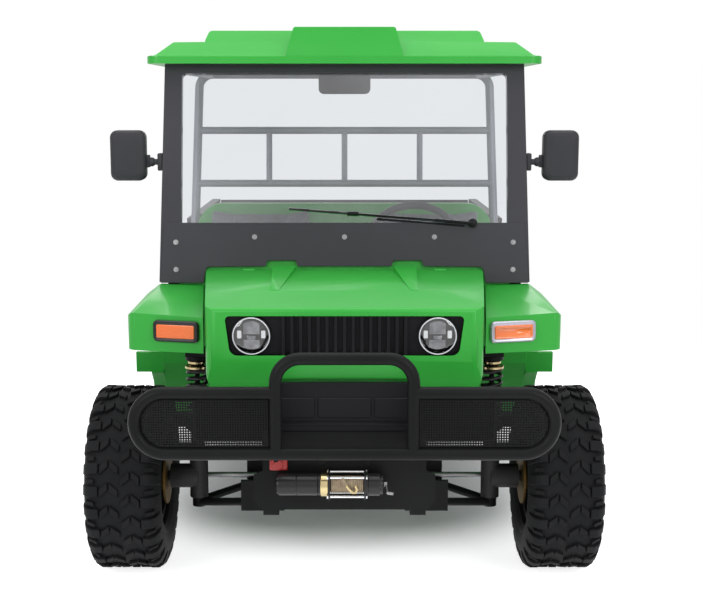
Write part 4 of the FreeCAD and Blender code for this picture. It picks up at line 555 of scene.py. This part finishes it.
shoulder_outline = [(70, 290), (70, crown(17)), (95, crown(17)), (112, crown(17) - 11), (123, crown(17) - 34),
                    (126.5, crown(17) - 58), (112, crown(17) - 62)]
pitch_lugs = [
    lug([(x, -17, r) for x, r in shoulder_outline], (0, 34, 0)),
    lug([(4, -20, crown(28)), (4, 4, crown(28)), (33, 28, crown(28)), (33, 2, crown(28))], (0, 0, -24)),
    lug([(38, 30, crown(34)), (38, 6, crown(34)), (66, -20, crown(34)), (66, 8, crown(34))], (0, 0, -24)),
    lug([(84, 26, crown(40) - 1), (84, 40, crown(40) - 1), (112, 40, crown(40) - 18), (112, 26, crown(40) - 18)],
        (0, 0, -16), 1.2),
]
tread = bmesh.new()
turn_half = Matrix.Rotation(math.pi / PITCHES, 4, "X") @ Matrix.Scale(-1, 4, (1, 0, 0))
for mesh in pitch_lugs:
    tread.from_mesh(mesh)
    mesh.transform(turn_half)
    tread.from_mesh(mesh)
bmesh.ops.spin(tread, geom=tread.verts[:] + tread.edges[:] + tread.faces[:], cent=(0, 0, 0), axis=(1, 0, 0),
               dvec=(0, 0, 0), angle=2 * math.pi * (PITCHES - 1) / PITCHES, steps=PITCHES - 1, use_duplicate=True)
print(len(tread.faces), "tread faces")

# %% [markdown]
# The carcass is a closed outline spun round the axle: bead, sidewall with two thin rings, shoulder
# and the crown between the lugs.

# %% Carcass and the four tyres
half_outline = [(88, 151), (88, 166), (96, 170), (106, 173), (114, 184), (118, 190), (119.5, 196), (118.5, 199),
                (123, 212), (126, 226), (127, 238), (126, 250), (124, 262), (119, 274), (112, 285), (100, 296),
                (84, 302.5), (60, 305), (30, 306)]
carcass_outline = half_outline + [(-x, r) for x, r in reversed(half_outline)]
lathe(tread, carcass_outline, (0, 0, 0), (1, 0, 0), steps=PITCHES * 4, closed=True)
tyre_mesh = bpy.data.meshes.new("tyre")
bmesh.ops.recalc_face_normals(tread, faces=tread.faces)
tread.to_mesh(tyre_mesh)
tread.free()
WHEELS = {}
WHEEL_OUT = 0.7365
for end, y in (("front", FRONT_AXLE), ("rear", REAR_AXLE)):
    for side, sign in SIDES.items():
        WHEELS[f"{end}_{side}"] = (sign, Vector((sign * WHEEL_OUT, y, OVER_LUGS * MM)))
for corner, (sign, centre) in WHEELS.items():
    bm = bmesh.new()
    bm.from_mesh(tyre_mesh)
    bmesh.ops.transform(bm, matrix=Matrix.Translation(centre) @ Matrix.Scale(sign, 4, (1, 0, 0)), verts=bm.verts)
    piece(f"tyre_{corner}_tread", bm, "tyre_rubber", f"wheel_{corner}", [f"tyre_{corner}"], math.radians(28))
print(len(tyre_mesh.polygons), "faces a tyre")

# %% [markdown]
# ## Wheels and brakes
#
# The steel wheels keep their CAD form with softened edges. Each gets five nuts, a pressed hub cap
# and a valve, which turn with it.

# %% Rims, nuts and brake discs
for corner, (sign, centre) in WHEELS.items():
    skin(f"rim_{corner}", "rim_black", 0.0012)
    bm = bmesh.new()
    face = centre + Vector((sign * 18 * MM, 0, 0))
    for number in range(5):
        turn = 2 * math.pi * number / 5
        spot = face + Vector((0, math.sin(turn), math.cos(turn))) * 50 * MM
        rod(bm, spot, spot + Vector((sign * 5 * MM, 0, 0)), 12, 20)
        rod(bm, spot + Vector((sign * 4 * MM, 0, 0)), spot + Vector((sign * 17 * MM, 0, 0)), 9, 6)
    lathe(bm, [(30, 0), (30, 33.5), (52, 33.5), (56, 30), (58, 18), (58, 0)], centre, (sign, 0, 0), 40)
    bmesh.ops.bevel(bm, geom=[e for e in bm.edges if e.calc_face_angle(0) > 0.5], offset=0.0008,
                    offset_type="OFFSET", segments=2, profile=0.5, affect="EDGES", material=-1)
    piece(f"wheel_nuts_{corner}", bm, "steel_bare", f"wheel_{corner}")
    valve = centre + Vector((sign * 62 * MM, 0, 128 * MM))
    bm = bmesh.new()
    rod(bm, valve - Vector((sign * 24 * MM, 0, 0)), valve + Vector((sign * 18 * MM, 0, -10 * MM)), 4.5, 14)
    piece(f"valve_{corner}", bm, "tyre_rubber", f"wheel_{corner}")
for side in SIDES:
    skin(f"brake_disc_front_{side}", "brake_gold", 0.0008)

# %% [markdown]
# ## Struts
#
# A coil spring is a circle carried round an axis while it climbs. Spin does both at once, with its
# dvec as the climb of each step. The damper inside, the seats and the bright collars are turned.

# %% Coil springs and dampers
STRUT_OUT = 0.510
SPRING_LOW, SPRING_HIGH, COILS, STEPS_A_COIL = 507, 701, 8, 28
for side, sign in SIDES.items():
    foot = Vector((sign * STRUT_OUT, FRONT_AXLE, 0))
    bm = bmesh.new()
    wire = bmesh.ops.create_circle(bm, segments=12, radius=6.4 * MM, matrix=Matrix.Translation(
        foot + Vector((32.4 * MM, 0, SPRING_LOW * MM))) @ Matrix.Rotation(math.pi / 2, 4, "X"))["verts"]
    loop = list({e for v in wire for e in v.link_edges})
    steps = COILS * STEPS_A_COIL
    bmesh.ops.spin(bm, geom=wire + loop, cent=foot, axis=(0, 0, 1), angle=2 * math.pi * COILS, steps=steps,
                   dvec=(0, 0, (SPRING_HIGH - SPRING_LOW) * MM / steps), use_merge=False, use_duplicate=False)
    bmesh.ops.holes_fill(bm, edges=bm.edges, sides=12)
    piece(f"coil_{side}", bm, "rim_black", f"knuckle_{side}")
    bm = bmesh.new()
    lathe(bm, [(340, 0), (340, 21), (344, 23), (480, 23), (488, 26), (488, 40), (491, 43), (501, 43), (502, 38),
               (502, 21), (640, 21), (646, 17), (650, 9), (696, 9)], foot, (0, 0, 1))
    piece(f"damper_{side}", bm, "frame_black", f"knuckle_{side}", [f"strut_{side}"])
    bm = bmesh.new()
    lathe(bm, [(702, 10), (702, 38), (704, 41), (711, 41), (713, 38), (713, 10)], foot, (0, 0, 1), closed=True)
    lathe(bm, [(719, 8), (719, 28), (721, 31), (728, 31), (730, 28), (730, 8)], foot, (0, 0, 1), closed=True)
    piece(f"spring_collars_{side}", bm, "brass_bright", f"knuckle_{side}")
    bm = bmesh.new()
    lathe(bm, [(694, 0), (694, 9), (713, 24), (719, 26), (730, 26), (734, 40), (747, 40), (747, 0)], foot, (0, 0, 1))
    piece(f"strut_mount_{side}", bm, "frame_black", f"knuckle_{side}")

# %% [markdown]
# ## Headlamps
#
# Each lamp is a round unit: a dark bowl, a thin pale light ring round its rim, an upper and a lower
# D-shaped reflector, two bright windows beside them, and a clear domed lens. The reflectors are
# discs cut with a plane and pushed back in the middle, so they catch light as bowls do.

# %% Headlamps
LAMP_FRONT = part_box("headlamps")[0].y
LAMP_OUT, LAMP_HIGH = 0.287, 0.901
for side, sign in SIDES.items():
    centre = Vector((sign * LAMP_OUT, LAMP_FRONT, LAMP_HIGH))
    back = (0, 1, 0)
    bm = bmesh.new()
    lathe(bm, [(12, 59.6), (9, 58), (10, 55), (14, 53), (24, 47), (27, 0), (32, 0), (32, 59.6)], centre, back, 64,
          closed=True)
    piece(f"lamp_bowl_{side}", bm, "rim_black", "hood", ["headlamps"])
    bm = bmesh.new()
    lathe(bm, [(6.5, 58.5), (5, 57.5), (5.5, 55), (8, 54), (11, 56), (11, 58)], centre, back, 64, closed=True)
    piece(f"lamp_ring_{side}", bm, "ring_white", "hood")
    bm = bmesh.new()
    for edge_z, way, radius in ((3, 1, 44), (-15, -1, 44)):
        disc = bmesh.ops.create_circle(bm, cap_ends=True, segments=48, radius=radius * MM, matrix=Matrix.Translation(
            centre + Vector((0, 15 * MM, 0))) @ Matrix.Rotation(math.pi / 2, 4, "X"))["verts"]
        geom = disc + list({e for v in disc for e in v.link_edges}) + list({f for v in disc for f in v.link_faces})
        for point, normal in ((Vector((0, 0, edge_z)), (0, 0, way)), (Vector((-25, 0, 0)), (1, 0, 0)),
                              (Vector((25, 0, 0)), (-1, 0, 0))):
            cut = bmesh.ops.bisect_plane(bm, geom=geom, plane_co=centre + point * MM, plane_no=normal,
                                         clear_inner=True)
            geom = cut["geom"]
        faces = [g for g in geom if isinstance(g, bmesh.types.BMFace)]
        for step, push in ((2.5, -3), (5, 5), (5, 4)):
            bmesh.ops.inset_region(bm, faces=faces, thickness=step * MM, use_even_offset=True)
            bmesh.ops.translate(bm, vec=(0, push * MM, 0), verts=list({v for f in faces for v in f.verts}))
    block(bm, centre + Vector((-14, 10, -13)) * MM, centre + Vector((14, 17, 1)) * MM, 1.5)
    piece(f"lamp_optics_{side}", bm, "optic_grey", "hood", angle=math.radians(50))
    bm = bmesh.new()
    for x in (-37, 37):
        pressed(bm, Matrix.Translation(centre + Vector((x, 17, 4)) * MM), 15, 26, 3, ((0, 4), (1, 1)))
    piece(f"lamp_windows_{side}", bm, "chrome", "hood")
    bm = bmesh.new()
    lathe(bm, [(11, 59.2), (7, 58), (4, 50), (2, 38), (0.8, 20), (0.5, 0)], centre, back, 64)
    piece(f"lamp_lens_{side}", bm, "lamp_clear", "hood")

# %% [markdown]
# ## Turn lamps and tail lamps
#
# A turn lamp is a pressed bezel with round corners and an amber lens set in it, turned to lie on
# the fender's slanted front. Both grow from one flat face: each step extrudes it, narrows it by a
# margin and moves it forwards or back, which gives the rim, the recess and the lens's own step.

# %% Turn lamps
TURN_LEAN = math.radians(14.04)
TURN_OUT, TURN_FRONT, TURN_HIGH = 0.530, -1.3185, 0.897
for side, sign in SIDES.items():
    place = Matrix.Translation((sign * TURN_OUT, TURN_FRONT, TURN_HIGH)) @ Matrix.Rotation(sign * TURN_LEAN, 4, "Z")
    bm = bmesh.new()
    pressed(bm, place, 152, 68, 15, ((0, 9), (3, 4), (5, 1), (2, -1), (1, -5)))
    # The two bezels are alike. The left one takes a light finish that paints a highlight on it, and the right one
    # stays dark.
    piece(f"turn_bezel_{side}", bm, "bezel_painted_highlight" if sign > 0 else "bezel_dark", "chassis", ["signal_lamps"])
    bm = bmesh.new()
    pressed(bm, place @ Matrix.Translation((0, -7 * MM, 0)), 127, 43, 6,
            ((0, 7), (2, 2), (7, 0.5), (1.5, -2), (0.5, 0)))
    piece(f"turn_lens_{side}", bm, "amber_lens", "chassis")

tail_low, tail_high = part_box("signal_lamps")
for side, sign in SIDES.items():
    low_x, high_x = sorted((sign * 0.490, sign * 0.630))
    bm = bmesh.new()
    block(bm, (low_x, 1.520, 0.485), (high_x, 1.532, 0.555), 2)
    piece(f"tail_housing_{side}", bm, "trim_black", "chassis")
    for name, start, end, finish_name in (("stop", 0.06, 0.62, "red_lens"), ("indicator", 0.65, 0.94, "amber_lens")):
        bm = bmesh.new()
        first, last = (low_x + (high_x - low_x) * share for share in (start, end))
        block(bm, (first, 1.530, 0.490), (last, tail_high.y, 0.550), 2.5, 3)
        piece(f"tail_{name}_{side}", bm, finish_name, "chassis")

# %% [markdown]
# ## Perforated bumper screens
#
# The screens are sheet metal with fine holes. The CAD plate's front face gives the outline. Planes
# cut it into small squares, each whole square is inset, and its middle is taken out. Solidify then
# gives the sheet its thickness.

# %% Screens
HOLE_PITCH, HOLE_WEB = 7.6, 3.2
bm = bmesh.new()
bm.from_mesh(NODES["bumper_screens"].data)
bmesh.ops.remove_doubles(bm, verts=bm.verts, dist=0.00002)
bmesh.ops.delete(bm, geom=[f for f in bm.faces if f.normal.y > -0.9], context="FACES")
bmesh.ops.dissolve_limit(bm, angle_limit=0.01, verts=bm.verts, edges=bm.edges)
screen_low, screen_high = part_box("bumper_screens")
for axis in (0, 2):
    place = screen_low[axis] + 6 * MM
    while place < screen_high[axis]:
        point, normal = Vector((0, 0, 0)), Vector((0, 0, 0))
        point[axis], normal[axis] = place, 1
        bmesh.ops.bisect_plane(bm, geom=bm.verts[:] + bm.edges[:] + bm.faces[:], plane_co=point, plane_no=normal)
        place += HOLE_PITCH * MM
whole = (HOLE_PITCH * MM) ** 2
cells = [f for f in bm.faces if abs(f.calc_area() - whole) < whole * 0.01]
bmesh.ops.inset_individual(bm, faces=cells, thickness=HOLE_WEB / 2 * MM, use_even_offset=True)
corners = list({v for f in cells for v in f.verts})
bmesh.ops.bevel(bm, geom=corners, offset=HOLE_PITCH * 0.16 * MM, offset_type="OFFSET", segments=1, profile=0.5,
                affect="VERTICES", material=-1)
inner = [f for f in bm.faces if len(f.verts) == 8 and f.calc_area() < whole * 0.4]
bmesh.ops.delete(bm, geom=inner, context="FACES")
screens = piece("bumper_screens_holed", bm, "frame_black", "chassis", ["bumper_screens"])
sheet_wall = screens.modifiers.new("sheet", "SOLIDIFY")
sheet_wall.thickness = 0.003
sheet_wall.offset = -1
baked(screens)
print(len(cells), "holes")

# %% [markdown]
# ## Winch
#
# The winch is a motor, a drum wound with synthetic rope between two flanges, and a gear case. Four
# bright tie rods hold the flanges. The wound rope is one outline of round humps, spun.

# %% Winch
WINCH = Vector((0, -1.482, 0.446))
ALONG = (1, 0, 0)


def at_winch(x, y, z):
    """A point near the winch, in mm from its axis."""
    return WINCH + Vector((x, y, z)) * MM


bm = bmesh.new()
lathe(bm, [(-212, 0), (-212, 24), (-208, 30), (-203, 31), (-203, 34), (-150, 34), (-148, 32.5), (-146, 34),
           (-84, 34), (-82, 32), (-80, 34), (-75, 34), (-75, 0)], WINCH, ALONG, 56)
lathe(bm, [(66, 0), (66, 38), (72, 38), (74, 35), (108, 35), (112, 31), (118, 30), (122, 22), (122, 0)], WINCH,
      ALONG, 56)
for x in (-150, 90):
    block(bm, at_winch(x, -16, -20), at_winch(x + 30, 45.6, 20), 2)
piece("winch_motor", bm, "bezel_dark", "chassis", ["winch"])
bm = bmesh.new()
lathe(bm, [(-74, 0), (-74, 35), (-72, 37), (-52, 37), (-50, 35), (-50, 0)], WINCH, ALONG, 56)
piece("winch_gear_ring", bm, "brass_bright", "chassis")
bm = bmesh.new()
for x in (-50, 60):
    block(bm, at_winch(x, -37, -39), at_winch(x + 6, 45.6, 39), 1.2)
piece("winch_flanges", bm, "bezel_dark", "chassis")
bm = bmesh.new()
for y, z in ((-30, 30), (-30, -30), (24, 33), (24, -33)):
    rod(bm, at_winch(-44, y, z), at_winch(60, y, z), 3.6, 18)
    for x in (-54, 66):
        rod(bm, at_winch(x, y, z), at_winch(x + 4, y, z), 6, 6)
piece("winch_tie_rods", bm, "chrome", "chassis")
bm = bmesh.new()
ROPE_TURNS, ROPE = 17, 5.9
rope_outline = [(-44, 12)]
for number in range(ROPE_TURNS):
    for step in range(6):
        angle = math.pi * step / 5
        rope_outline.append((-42 + number * ROPE + ROPE / 2 * (1 - math.cos(angle)), 24 + ROPE / 2 * math.sin(angle)))
rope_outline += [(59.6, 12)]
lathe(bm, rope_outline, WINCH, ALONG, 48)
piece("winch_rope", bm, "rope_tan", "chassis", angle=math.radians(60))

# %% [markdown]
# The rope's end passes over the front tie rod to a forged hook that rests on the drum. The plug
# for the winch's remote sits on the plate beside it.

# %% Hook and plug
bm = bmesh.new()
hook_path = [(-6, -33, 30), (-2, -37, 20), (6, -39, 8), (14, -39, -4), (24, -38, -14), (34, -37, -14), (38, -37, -4),
             (34, -37, 5)]
for start, end in zip(hook_path[2:], hook_path[3:]):
    rod(bm, at_winch(*start), at_winch(*end), 4.4, 16)
    bmesh.ops.create_uvsphere(bm, u_segments=16, v_segments=8, radius=4.4 * MM, matrix=Matrix.Translation(at_winch(*end)))
piece("winch_hook", bm, "brass_bright", "chassis")
bm = bmesh.new()
for start, end in zip(hook_path[:2], hook_path[1:3]):
    rod(bm, at_winch(*start), at_winch(*end), 3.2, 16)
    bmesh.ops.create_uvsphere(bm, u_segments=16, v_segments=8, radius=3.2 * MM, matrix=Matrix.Translation(at_winch(*end)))
piece("winch_rope_end", bm, "rope_tan", "chassis")
PLATE_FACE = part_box("winch_plate")[0].y
bm = bmesh.new()
block(bm, (-0.232, PLATE_FACE - 0.036, 0.486), (-0.176, PLATE_FACE - 0.0002, 0.524), 6, 3)
lathe(bm, [(0, 0), (0, 15), (-6, 15), (-8, 13), (-8, 0)], (-0.204, PLATE_FACE - 0.035, 0.505), (0, 1, 0), 32)
piece("winch_plug", bm, "plug_red", "chassis")
bm = bmesh.new()
rod(bm, at_winch(122, 2, 0), at_winch(131, 2, 0), 8, 24)
rod(bm, at_winch(127, 2, 0), at_winch(132, -30, -18), 4, 16)
rod(bm, at_winch(132, -30, -18), at_winch(150, -34, -19), 5, 16)
piece("winch_lever", bm, "steel_bare", "chassis")

# %% [markdown]
# ## Nose panel
#
# Between the bumper's posts the nose is closed by a dark moulding with three raised fields and
# shallow grooves between them. A plain dark panel carries on behind each screen and paints the
# shade that makes the space in front of the wheels dark.

# %% Fields of the nose panel and the dark panels behind the screens, which paint shade
NOSE_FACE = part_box("nose_lower_panel")[0].y
bm = bmesh.new()
for x, wide in ((-0.159, 134), (0, 166), (0.159, 134)):
    pressed(bm, Matrix.Translation((x, NOSE_FACE + 1 * MM, 0.676)), wide, 64, 7, ((0, 3), (2.5, 2.5)))
block(bm, (-0.228, NOSE_FACE - 5 * MM, 0.622), (0.228, NOSE_FACE + 1 * MM, 0.631), 1.5)
piece("nose_panel_fields", bm, "grille_black", BODY_OF["nose_lower_panel"])
for side, sign in SIDES.items():
    # A dark sheet behind each screen that stands in for the shade in front of the wheels.
    bm = bmesh.new()
    pressed(bm, Matrix.Translation((sign * 0.352, -1.416, 0.638)), 236, 142, 10, ((0, 3), (4, 2), (14, 0), (2, -2)))
    piece(f"painted_shade_panel_{side}", bm, "grille_black", BODY_OF["nose_lower_panel"])

# %% [markdown]
# ## Mirrors
#
# The door mirrors are moulded shells with round corners on short arms, and the inside mirror is a
# flat shell on a stem. The pressed panel makes the shells: it starts as the rear face and grows
# forwards, narrower at each step. The mirror glass is a thin pressed sheet that faces the seats.

# %% Door mirrors and inside mirror
FACING_REAR = Matrix.Rotation(math.pi, 4, "Z")
ARM_Y, ARM_Z = -0.554, 1.392
INSIDE_MIDDLE = (0, -0.4268, 1.6775)
for side, sign in SIDES.items():
    middle = Vector((sign * 0.7935, -0.5445, 1.416))
    bm = bmesh.new()
    pressed(bm, Matrix.Translation(middle), 130, 184, 27, ((0, 34), (3, 9), (6, 6), (10, 4), (20, 2)))
    block(bm, (min(sign * 0.670, sign * 0.688), -0.572, 1.360), (max(sign * 0.670, sign * 0.688), -0.534, 1.424), 5, 3)
    rod(bm, (sign * 0.678, ARM_Y, ARM_Z), (sign * 0.745, ARM_Y, ARM_Z), 11, 28)
    bmesh.ops.create_uvsphere(bm, u_segments=28, v_segments=16, radius=17 * MM,
                              matrix=Matrix.Translation((sign * 0.712, ARM_Y, ARM_Z)))
    block(bm, (min(sign * 0.716, sign * 0.740), -0.568, 1.372), (max(sign * 0.716, sign * 0.740), -0.546, 1.418), 4, 3)
    piece(f"door_mirror_{side}", bm, "trim_black", "chassis", ["mirrors"])
    bm = bmesh.new()
    pressed(bm, Matrix.Translation(middle) @ FACING_REAR, 116, 170, 21, ((0, 0.8), (0.8, 0.4)))
    piece(f"door_mirror_glass_{side}", bm, "chrome", "chassis")
bm = bmesh.new()
pressed(bm, Matrix.Translation(INSIDE_MIDDLE), 194, 77, 20, ((0, 14), (2, 5), (5, 3), (9, 1)))
block(bm, (-0.008, -0.446, 1.705), (0.008, -0.431, 1.731), 2.5, 2)
rod(bm, (0, -0.4735, 1.724), (0, -0.438, 1.724), 7, 24)
piece("inside_mirror", bm, "grille_black", "chassis")
bm = bmesh.new()
pressed(bm, Matrix.Translation(INSIDE_MIDDLE) @ FACING_REAR, 182, 66, 16, ((0, 0.8), (0.8, 0.4)))
piece("inside_mirror_glass", bm, "chrome", "chassis")

# %% [markdown]
# ## Wiper and cowl bolts
#
# The wiper's arm is clamped on a spindle at the driver's corner of the glass and carries its blade
# at the middle. Everything is placed from the leaning plane of the glass: a point is a place on the
# glass and a distance out from it.

# %% Wiper
SCREEN_LEAN = math.radians(9.18)
GLASS_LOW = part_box("windscreen_glass")[0]
OUT_OF_GLASS = Vector((0, -math.cos(SCREEN_LEAN), math.sin(SCREEN_LEAN)))


def on_glass(x, z, out):
    """A point at a place on the windscreen and a distance in mm out from its face."""
    return Vector((x, GLASS_LOW.y + (z - GLASS_LOW.z) * math.tan(SCREEN_LEAN), z)) + OUT_OF_GLASS * out * MM


SPINDLE, BLADE_MIDDLE = (0.470, 1.168), (0.031, 1.203)
BLADE_ENDS = ((-0.204, 1.221), (0.266, 1.185))
bm = bmesh.new()
lathe(bm, [(-2, 0), (-2, 13), (22, 13), (22, 17), (34, 16), (37, 12), (38, 0)], on_glass(*SPINDLE, 0),
      OUT_OF_GLASS, 32)
elbow = on_glass(0.330, 1.180, 27)
beam(bm, on_glass(*SPINDLE, 30), elbow, 26, 9, 2.5)
beam(bm, elbow, on_glass(*BLADE_MIDDLE, 19), 15, 5, 1.5)
rod(bm, on_glass(0.440, 1.157, 26), on_glass(0.120, 1.184, 20), 3.2, 14)
clamp, clamp_half = on_glass(*BLADE_MIDDLE, 15), Vector((22, 8, 7)) * MM
block(bm, clamp - clamp_half, clamp + clamp_half, 3)
piece("wiper_arm", bm, "grille_black", "chassis")
bm = bmesh.new()
beam(bm, on_glass(*BLADE_ENDS[0], 9), on_glass(*BLADE_ENDS[1], 9), 14, 7, 1.5)
beam(bm, on_glass(*BLADE_ENDS[0], 3.4), on_glass(*BLADE_ENDS[1], 3.4), 4, 6, 0.8)
for share in (0.12, 0.35, 0.65, 0.88):
    x, z = (BLADE_ENDS[0][n] + (BLADE_ENDS[1][n] - BLADE_ENDS[0][n]) * share for n in (0, 1))
    beam(bm, on_glass(x - 0.022, z + 0.0017, 13), on_glass(x + 0.022, z - 0.0017, 13), 12, 8, 2)
piece("wiper_blade", bm, "rim_black", "chassis")

# %% Cowl bolts
COWL_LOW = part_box("cowl_panel")[0]
COWL_BOLTS = ((0, 1.121), (0.330, 1.121), (-0.330, 1.121), (0.619, 1.102), (-0.619, 1.102), (0.618, 1.003),
              (-0.618, 1.003))
bm = bmesh.new()
for x, z in COWL_BOLTS:
    seat = Vector((x, COWL_LOW.y + (z - COWL_LOW.z) * math.tan(SCREEN_LEAN), z))
    rod(bm, seat - OUT_OF_GLASS * 1 * MM, seat + OUT_OF_GLASS * 1.5 * MM, 9.5, 24)
    rod(bm, seat, seat + OUT_OF_GLASS * 5 * MM, 6.5, 6)
piece("cowl_bolts", bm, "steel_bare", "chassis")

# %% [markdown]
# ## Dash and pedals
#
# Seen from the seats, the dash has a round speed dial with a pointer and a row of rocker switches
# on its leaning face, and two pedals hang from brackets under it.

# %% Dial, switches and pedals
DASH_TILT = math.radians(12.2)
TOWARDS_SEAT = Vector((0, math.cos(DASH_TILT), math.sin(DASH_TILT)))
DIAL = Vector((0, -0.3815, 1.055))


def on_dash(x):
    """The turned place of a part on the leaning face of the dash."""
    return Matrix.Translation((x, DIAL.y, DIAL.z)) @ Matrix.Rotation(DASH_TILT, 4, "X") @ FACING_REAR


bm = bmesh.new()
lathe(bm, [(-4, 0), (-4, 46), (7, 46), (9, 44), (9, 40), (2, 38), (2, 0)], DIAL, TOWARDS_SEAT, 56)
for number in range(4):
    pressed(bm, on_dash(-0.12 - 0.05 * number), 30, 44, 4, ((0, 4), (2, 1), (2, -1), (1, 3), (2, 1)))
piece("dash_switches", bm, "grille_black", "chassis")
bm = bmesh.new()
lathe(bm, [(2, 0), (2, 37), (3, 37), (3, 0)], DIAL, TOWARDS_SEAT, 48)
piece("dial_face", bm, "dial_pale", "chassis")
bm = bmesh.new()
lathe(bm, [(3, 0), (3, 5), (5.5, 4), (5.5, 0)], DIAL, TOWARDS_SEAT, 24)
pointer = DIAL + TOWARDS_SEAT * 4.4 * MM
beam(bm, pointer, pointer + Vector((-22, -4, 18)) * MM, 2.2, 1.2, 0.3)
piece("dial_pointer", bm, "plug_red", "chassis")
bm = bmesh.new()
for x, wide in ((0.200, 46), (0.330, 34)):
    block(bm, (x - 0.020, -0.570, 0.895), (x + 0.020, -0.520, 0.945), 3)
    beam(bm, (x, -0.545, 0.915), (x, -0.535, 0.700), 24, 9, 2)
    beam(bm, (x, -0.535, 0.705), (x, -0.492, 0.585), 24, 9, 2)
    beam(bm, (x, -0.504, 0.620), (x, -0.470, 0.560), wide * 2, 8, 3)
    for row in range(4):
        spot = Vector((x, -0.500 + 0.0085 * row, 0.613 - 0.015 * row)) + Vector((0, 5, 2)) * MM
        beam(bm, spot - Vector((wide * 0.8 * MM, 0, 0)), spot + Vector((wide * 0.8 * MM, 0, 0)), 4, 4, 1)
piece("pedals", bm, "grille_black", "chassis")

# %% [markdown]
# ## Seats
#
# The cushions and backs are foam under vinyl: crowned, with sides that pull in between the corners
# and channels sewn across the middle. A voxel remesh gives an even skin, the Cloth modifier blows
# it up with a little pressure and no gravity, and each point may move only so far. Each pad is then
# stretched to the box of its CAD solid. The channels are pressed in afterwards.

# %% Upholstery
VOXEL, START_INSIDE, MOST_SWELL, FRAMES = 0.008, 0.004, 0.022, 20
ROUNDING = 45


def filled_out(pad, node):
    """Stretches each seat's pad to the box of its CAD solid, as swelling and rounding leave it a little small."""
    for sign in SIDES.values():
        solid = [v.co for v in NODES[node].data.vertices if v.co.x * sign > 0]
        soft = [v for v in pad.data.vertices if v.co.x * sign > 0]
        for axis in range(3):
            low, high = min(c[axis] for c in solid), max(c[axis] for c in solid)
            start, end = min(v.co[axis] for v in soft), max(v.co[axis] for v in soft)
            for v in soft:
                v.co[axis] = low + (v.co[axis] - start) * (high - low) / (end - start)


def upholstered(node, channels):
    """A padded copy of a seat node, with channels as pairs of an axis and a place along it."""
    bm = bmesh.new()
    bm.from_mesh(NODES[node].data)
    bmesh.ops.remove_doubles(bm, verts=bm.verts, dist=0.00002)
    mesh = bpy.data.meshes.new(node + "_padded")
    bm.to_mesh(mesh)
    bm.free()
    pad = into_scene(node + "_padded", mesh, "seat_vinyl", BODY_OF[node])
    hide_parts(node)
    even = pad.modifiers.new("even", "REMESH")
    even.mode = "VOXEL"
    even.voxel_size = VOXEL
    round_off = pad.modifiers.new("round_off", "SMOOTH")
    round_off.iterations = ROUNDING
    baked(pad)
    normals = [vertex.normal.copy() for vertex in pad.data.vertices]
    for vertex, normal in zip(pad.data.vertices, normals):
        vertex.co -= normal * START_INSIDE
    start = [vertex.co.copy() for vertex in pad.data.vertices]
    cloth = pad.modifiers.new("padding", "CLOTH")
    cloth.settings.quality = 4
    cloth.settings.use_pressure = True
    cloth.settings.uniform_pressure_force = 4
    cloth.settings.effector_weights.gravity = 0
    cloth.point_cache.frame_start = 1
    cloth.point_cache.frame_end = FRAMES
    for number in range(1, FRAMES + 1):
        scene.frame_set(number)
    baked(pad)
    for vertex, before in zip(pad.data.vertices, start):
        moved = vertex.co - before
        if moved.length > MOST_SWELL:
            vertex.co = before + moved * (MOST_SWELL / moved.length)
    scene.frame_set(1)
    filled_out(pad, node)
    finer = pad.modifiers.new("finer", "SUBSURF")
    finer.levels = finer.render_levels = 1
    baked(pad)
    normals = [vertex.normal.copy() for vertex in pad.data.vertices]
    for vertex, normal in zip(pad.data.vertices, normals):
        for axis, place in channels:
            off = (vertex.co[axis] - place) / (7 * MM)
            vertex.co -= normal * 5 * MM * math.exp(-off * off)
    for face in pad.data.polygons:
        face.use_smooth = True
    return pad


SEAT_MIDDLE = (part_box("seat_backs")[1].x + 0.147) / 2
across = [(0, sign * (SEAT_MIDDLE + off)) for sign in (1, -1) for off in (-0.115, 0.115)]
cushions = upholstered("seat_cushions", across + [(1, 0.02)])
backs = upholstered("seat_backs", across + [(2, 0.90)])
print(len(cushions.data.polygons), "and", len(backs.data.polygons), "faces on the padded pieces")

# %% [markdown]
# ## Windscreen glass
#
# The glass keeps its CAD shape. It only gets its clear finish.

# %% Windscreen glass
for glass_slot in NODES["windscreen_glass"].material_slots:
    glass_slot.material = FINISH["windscreen_clear"]
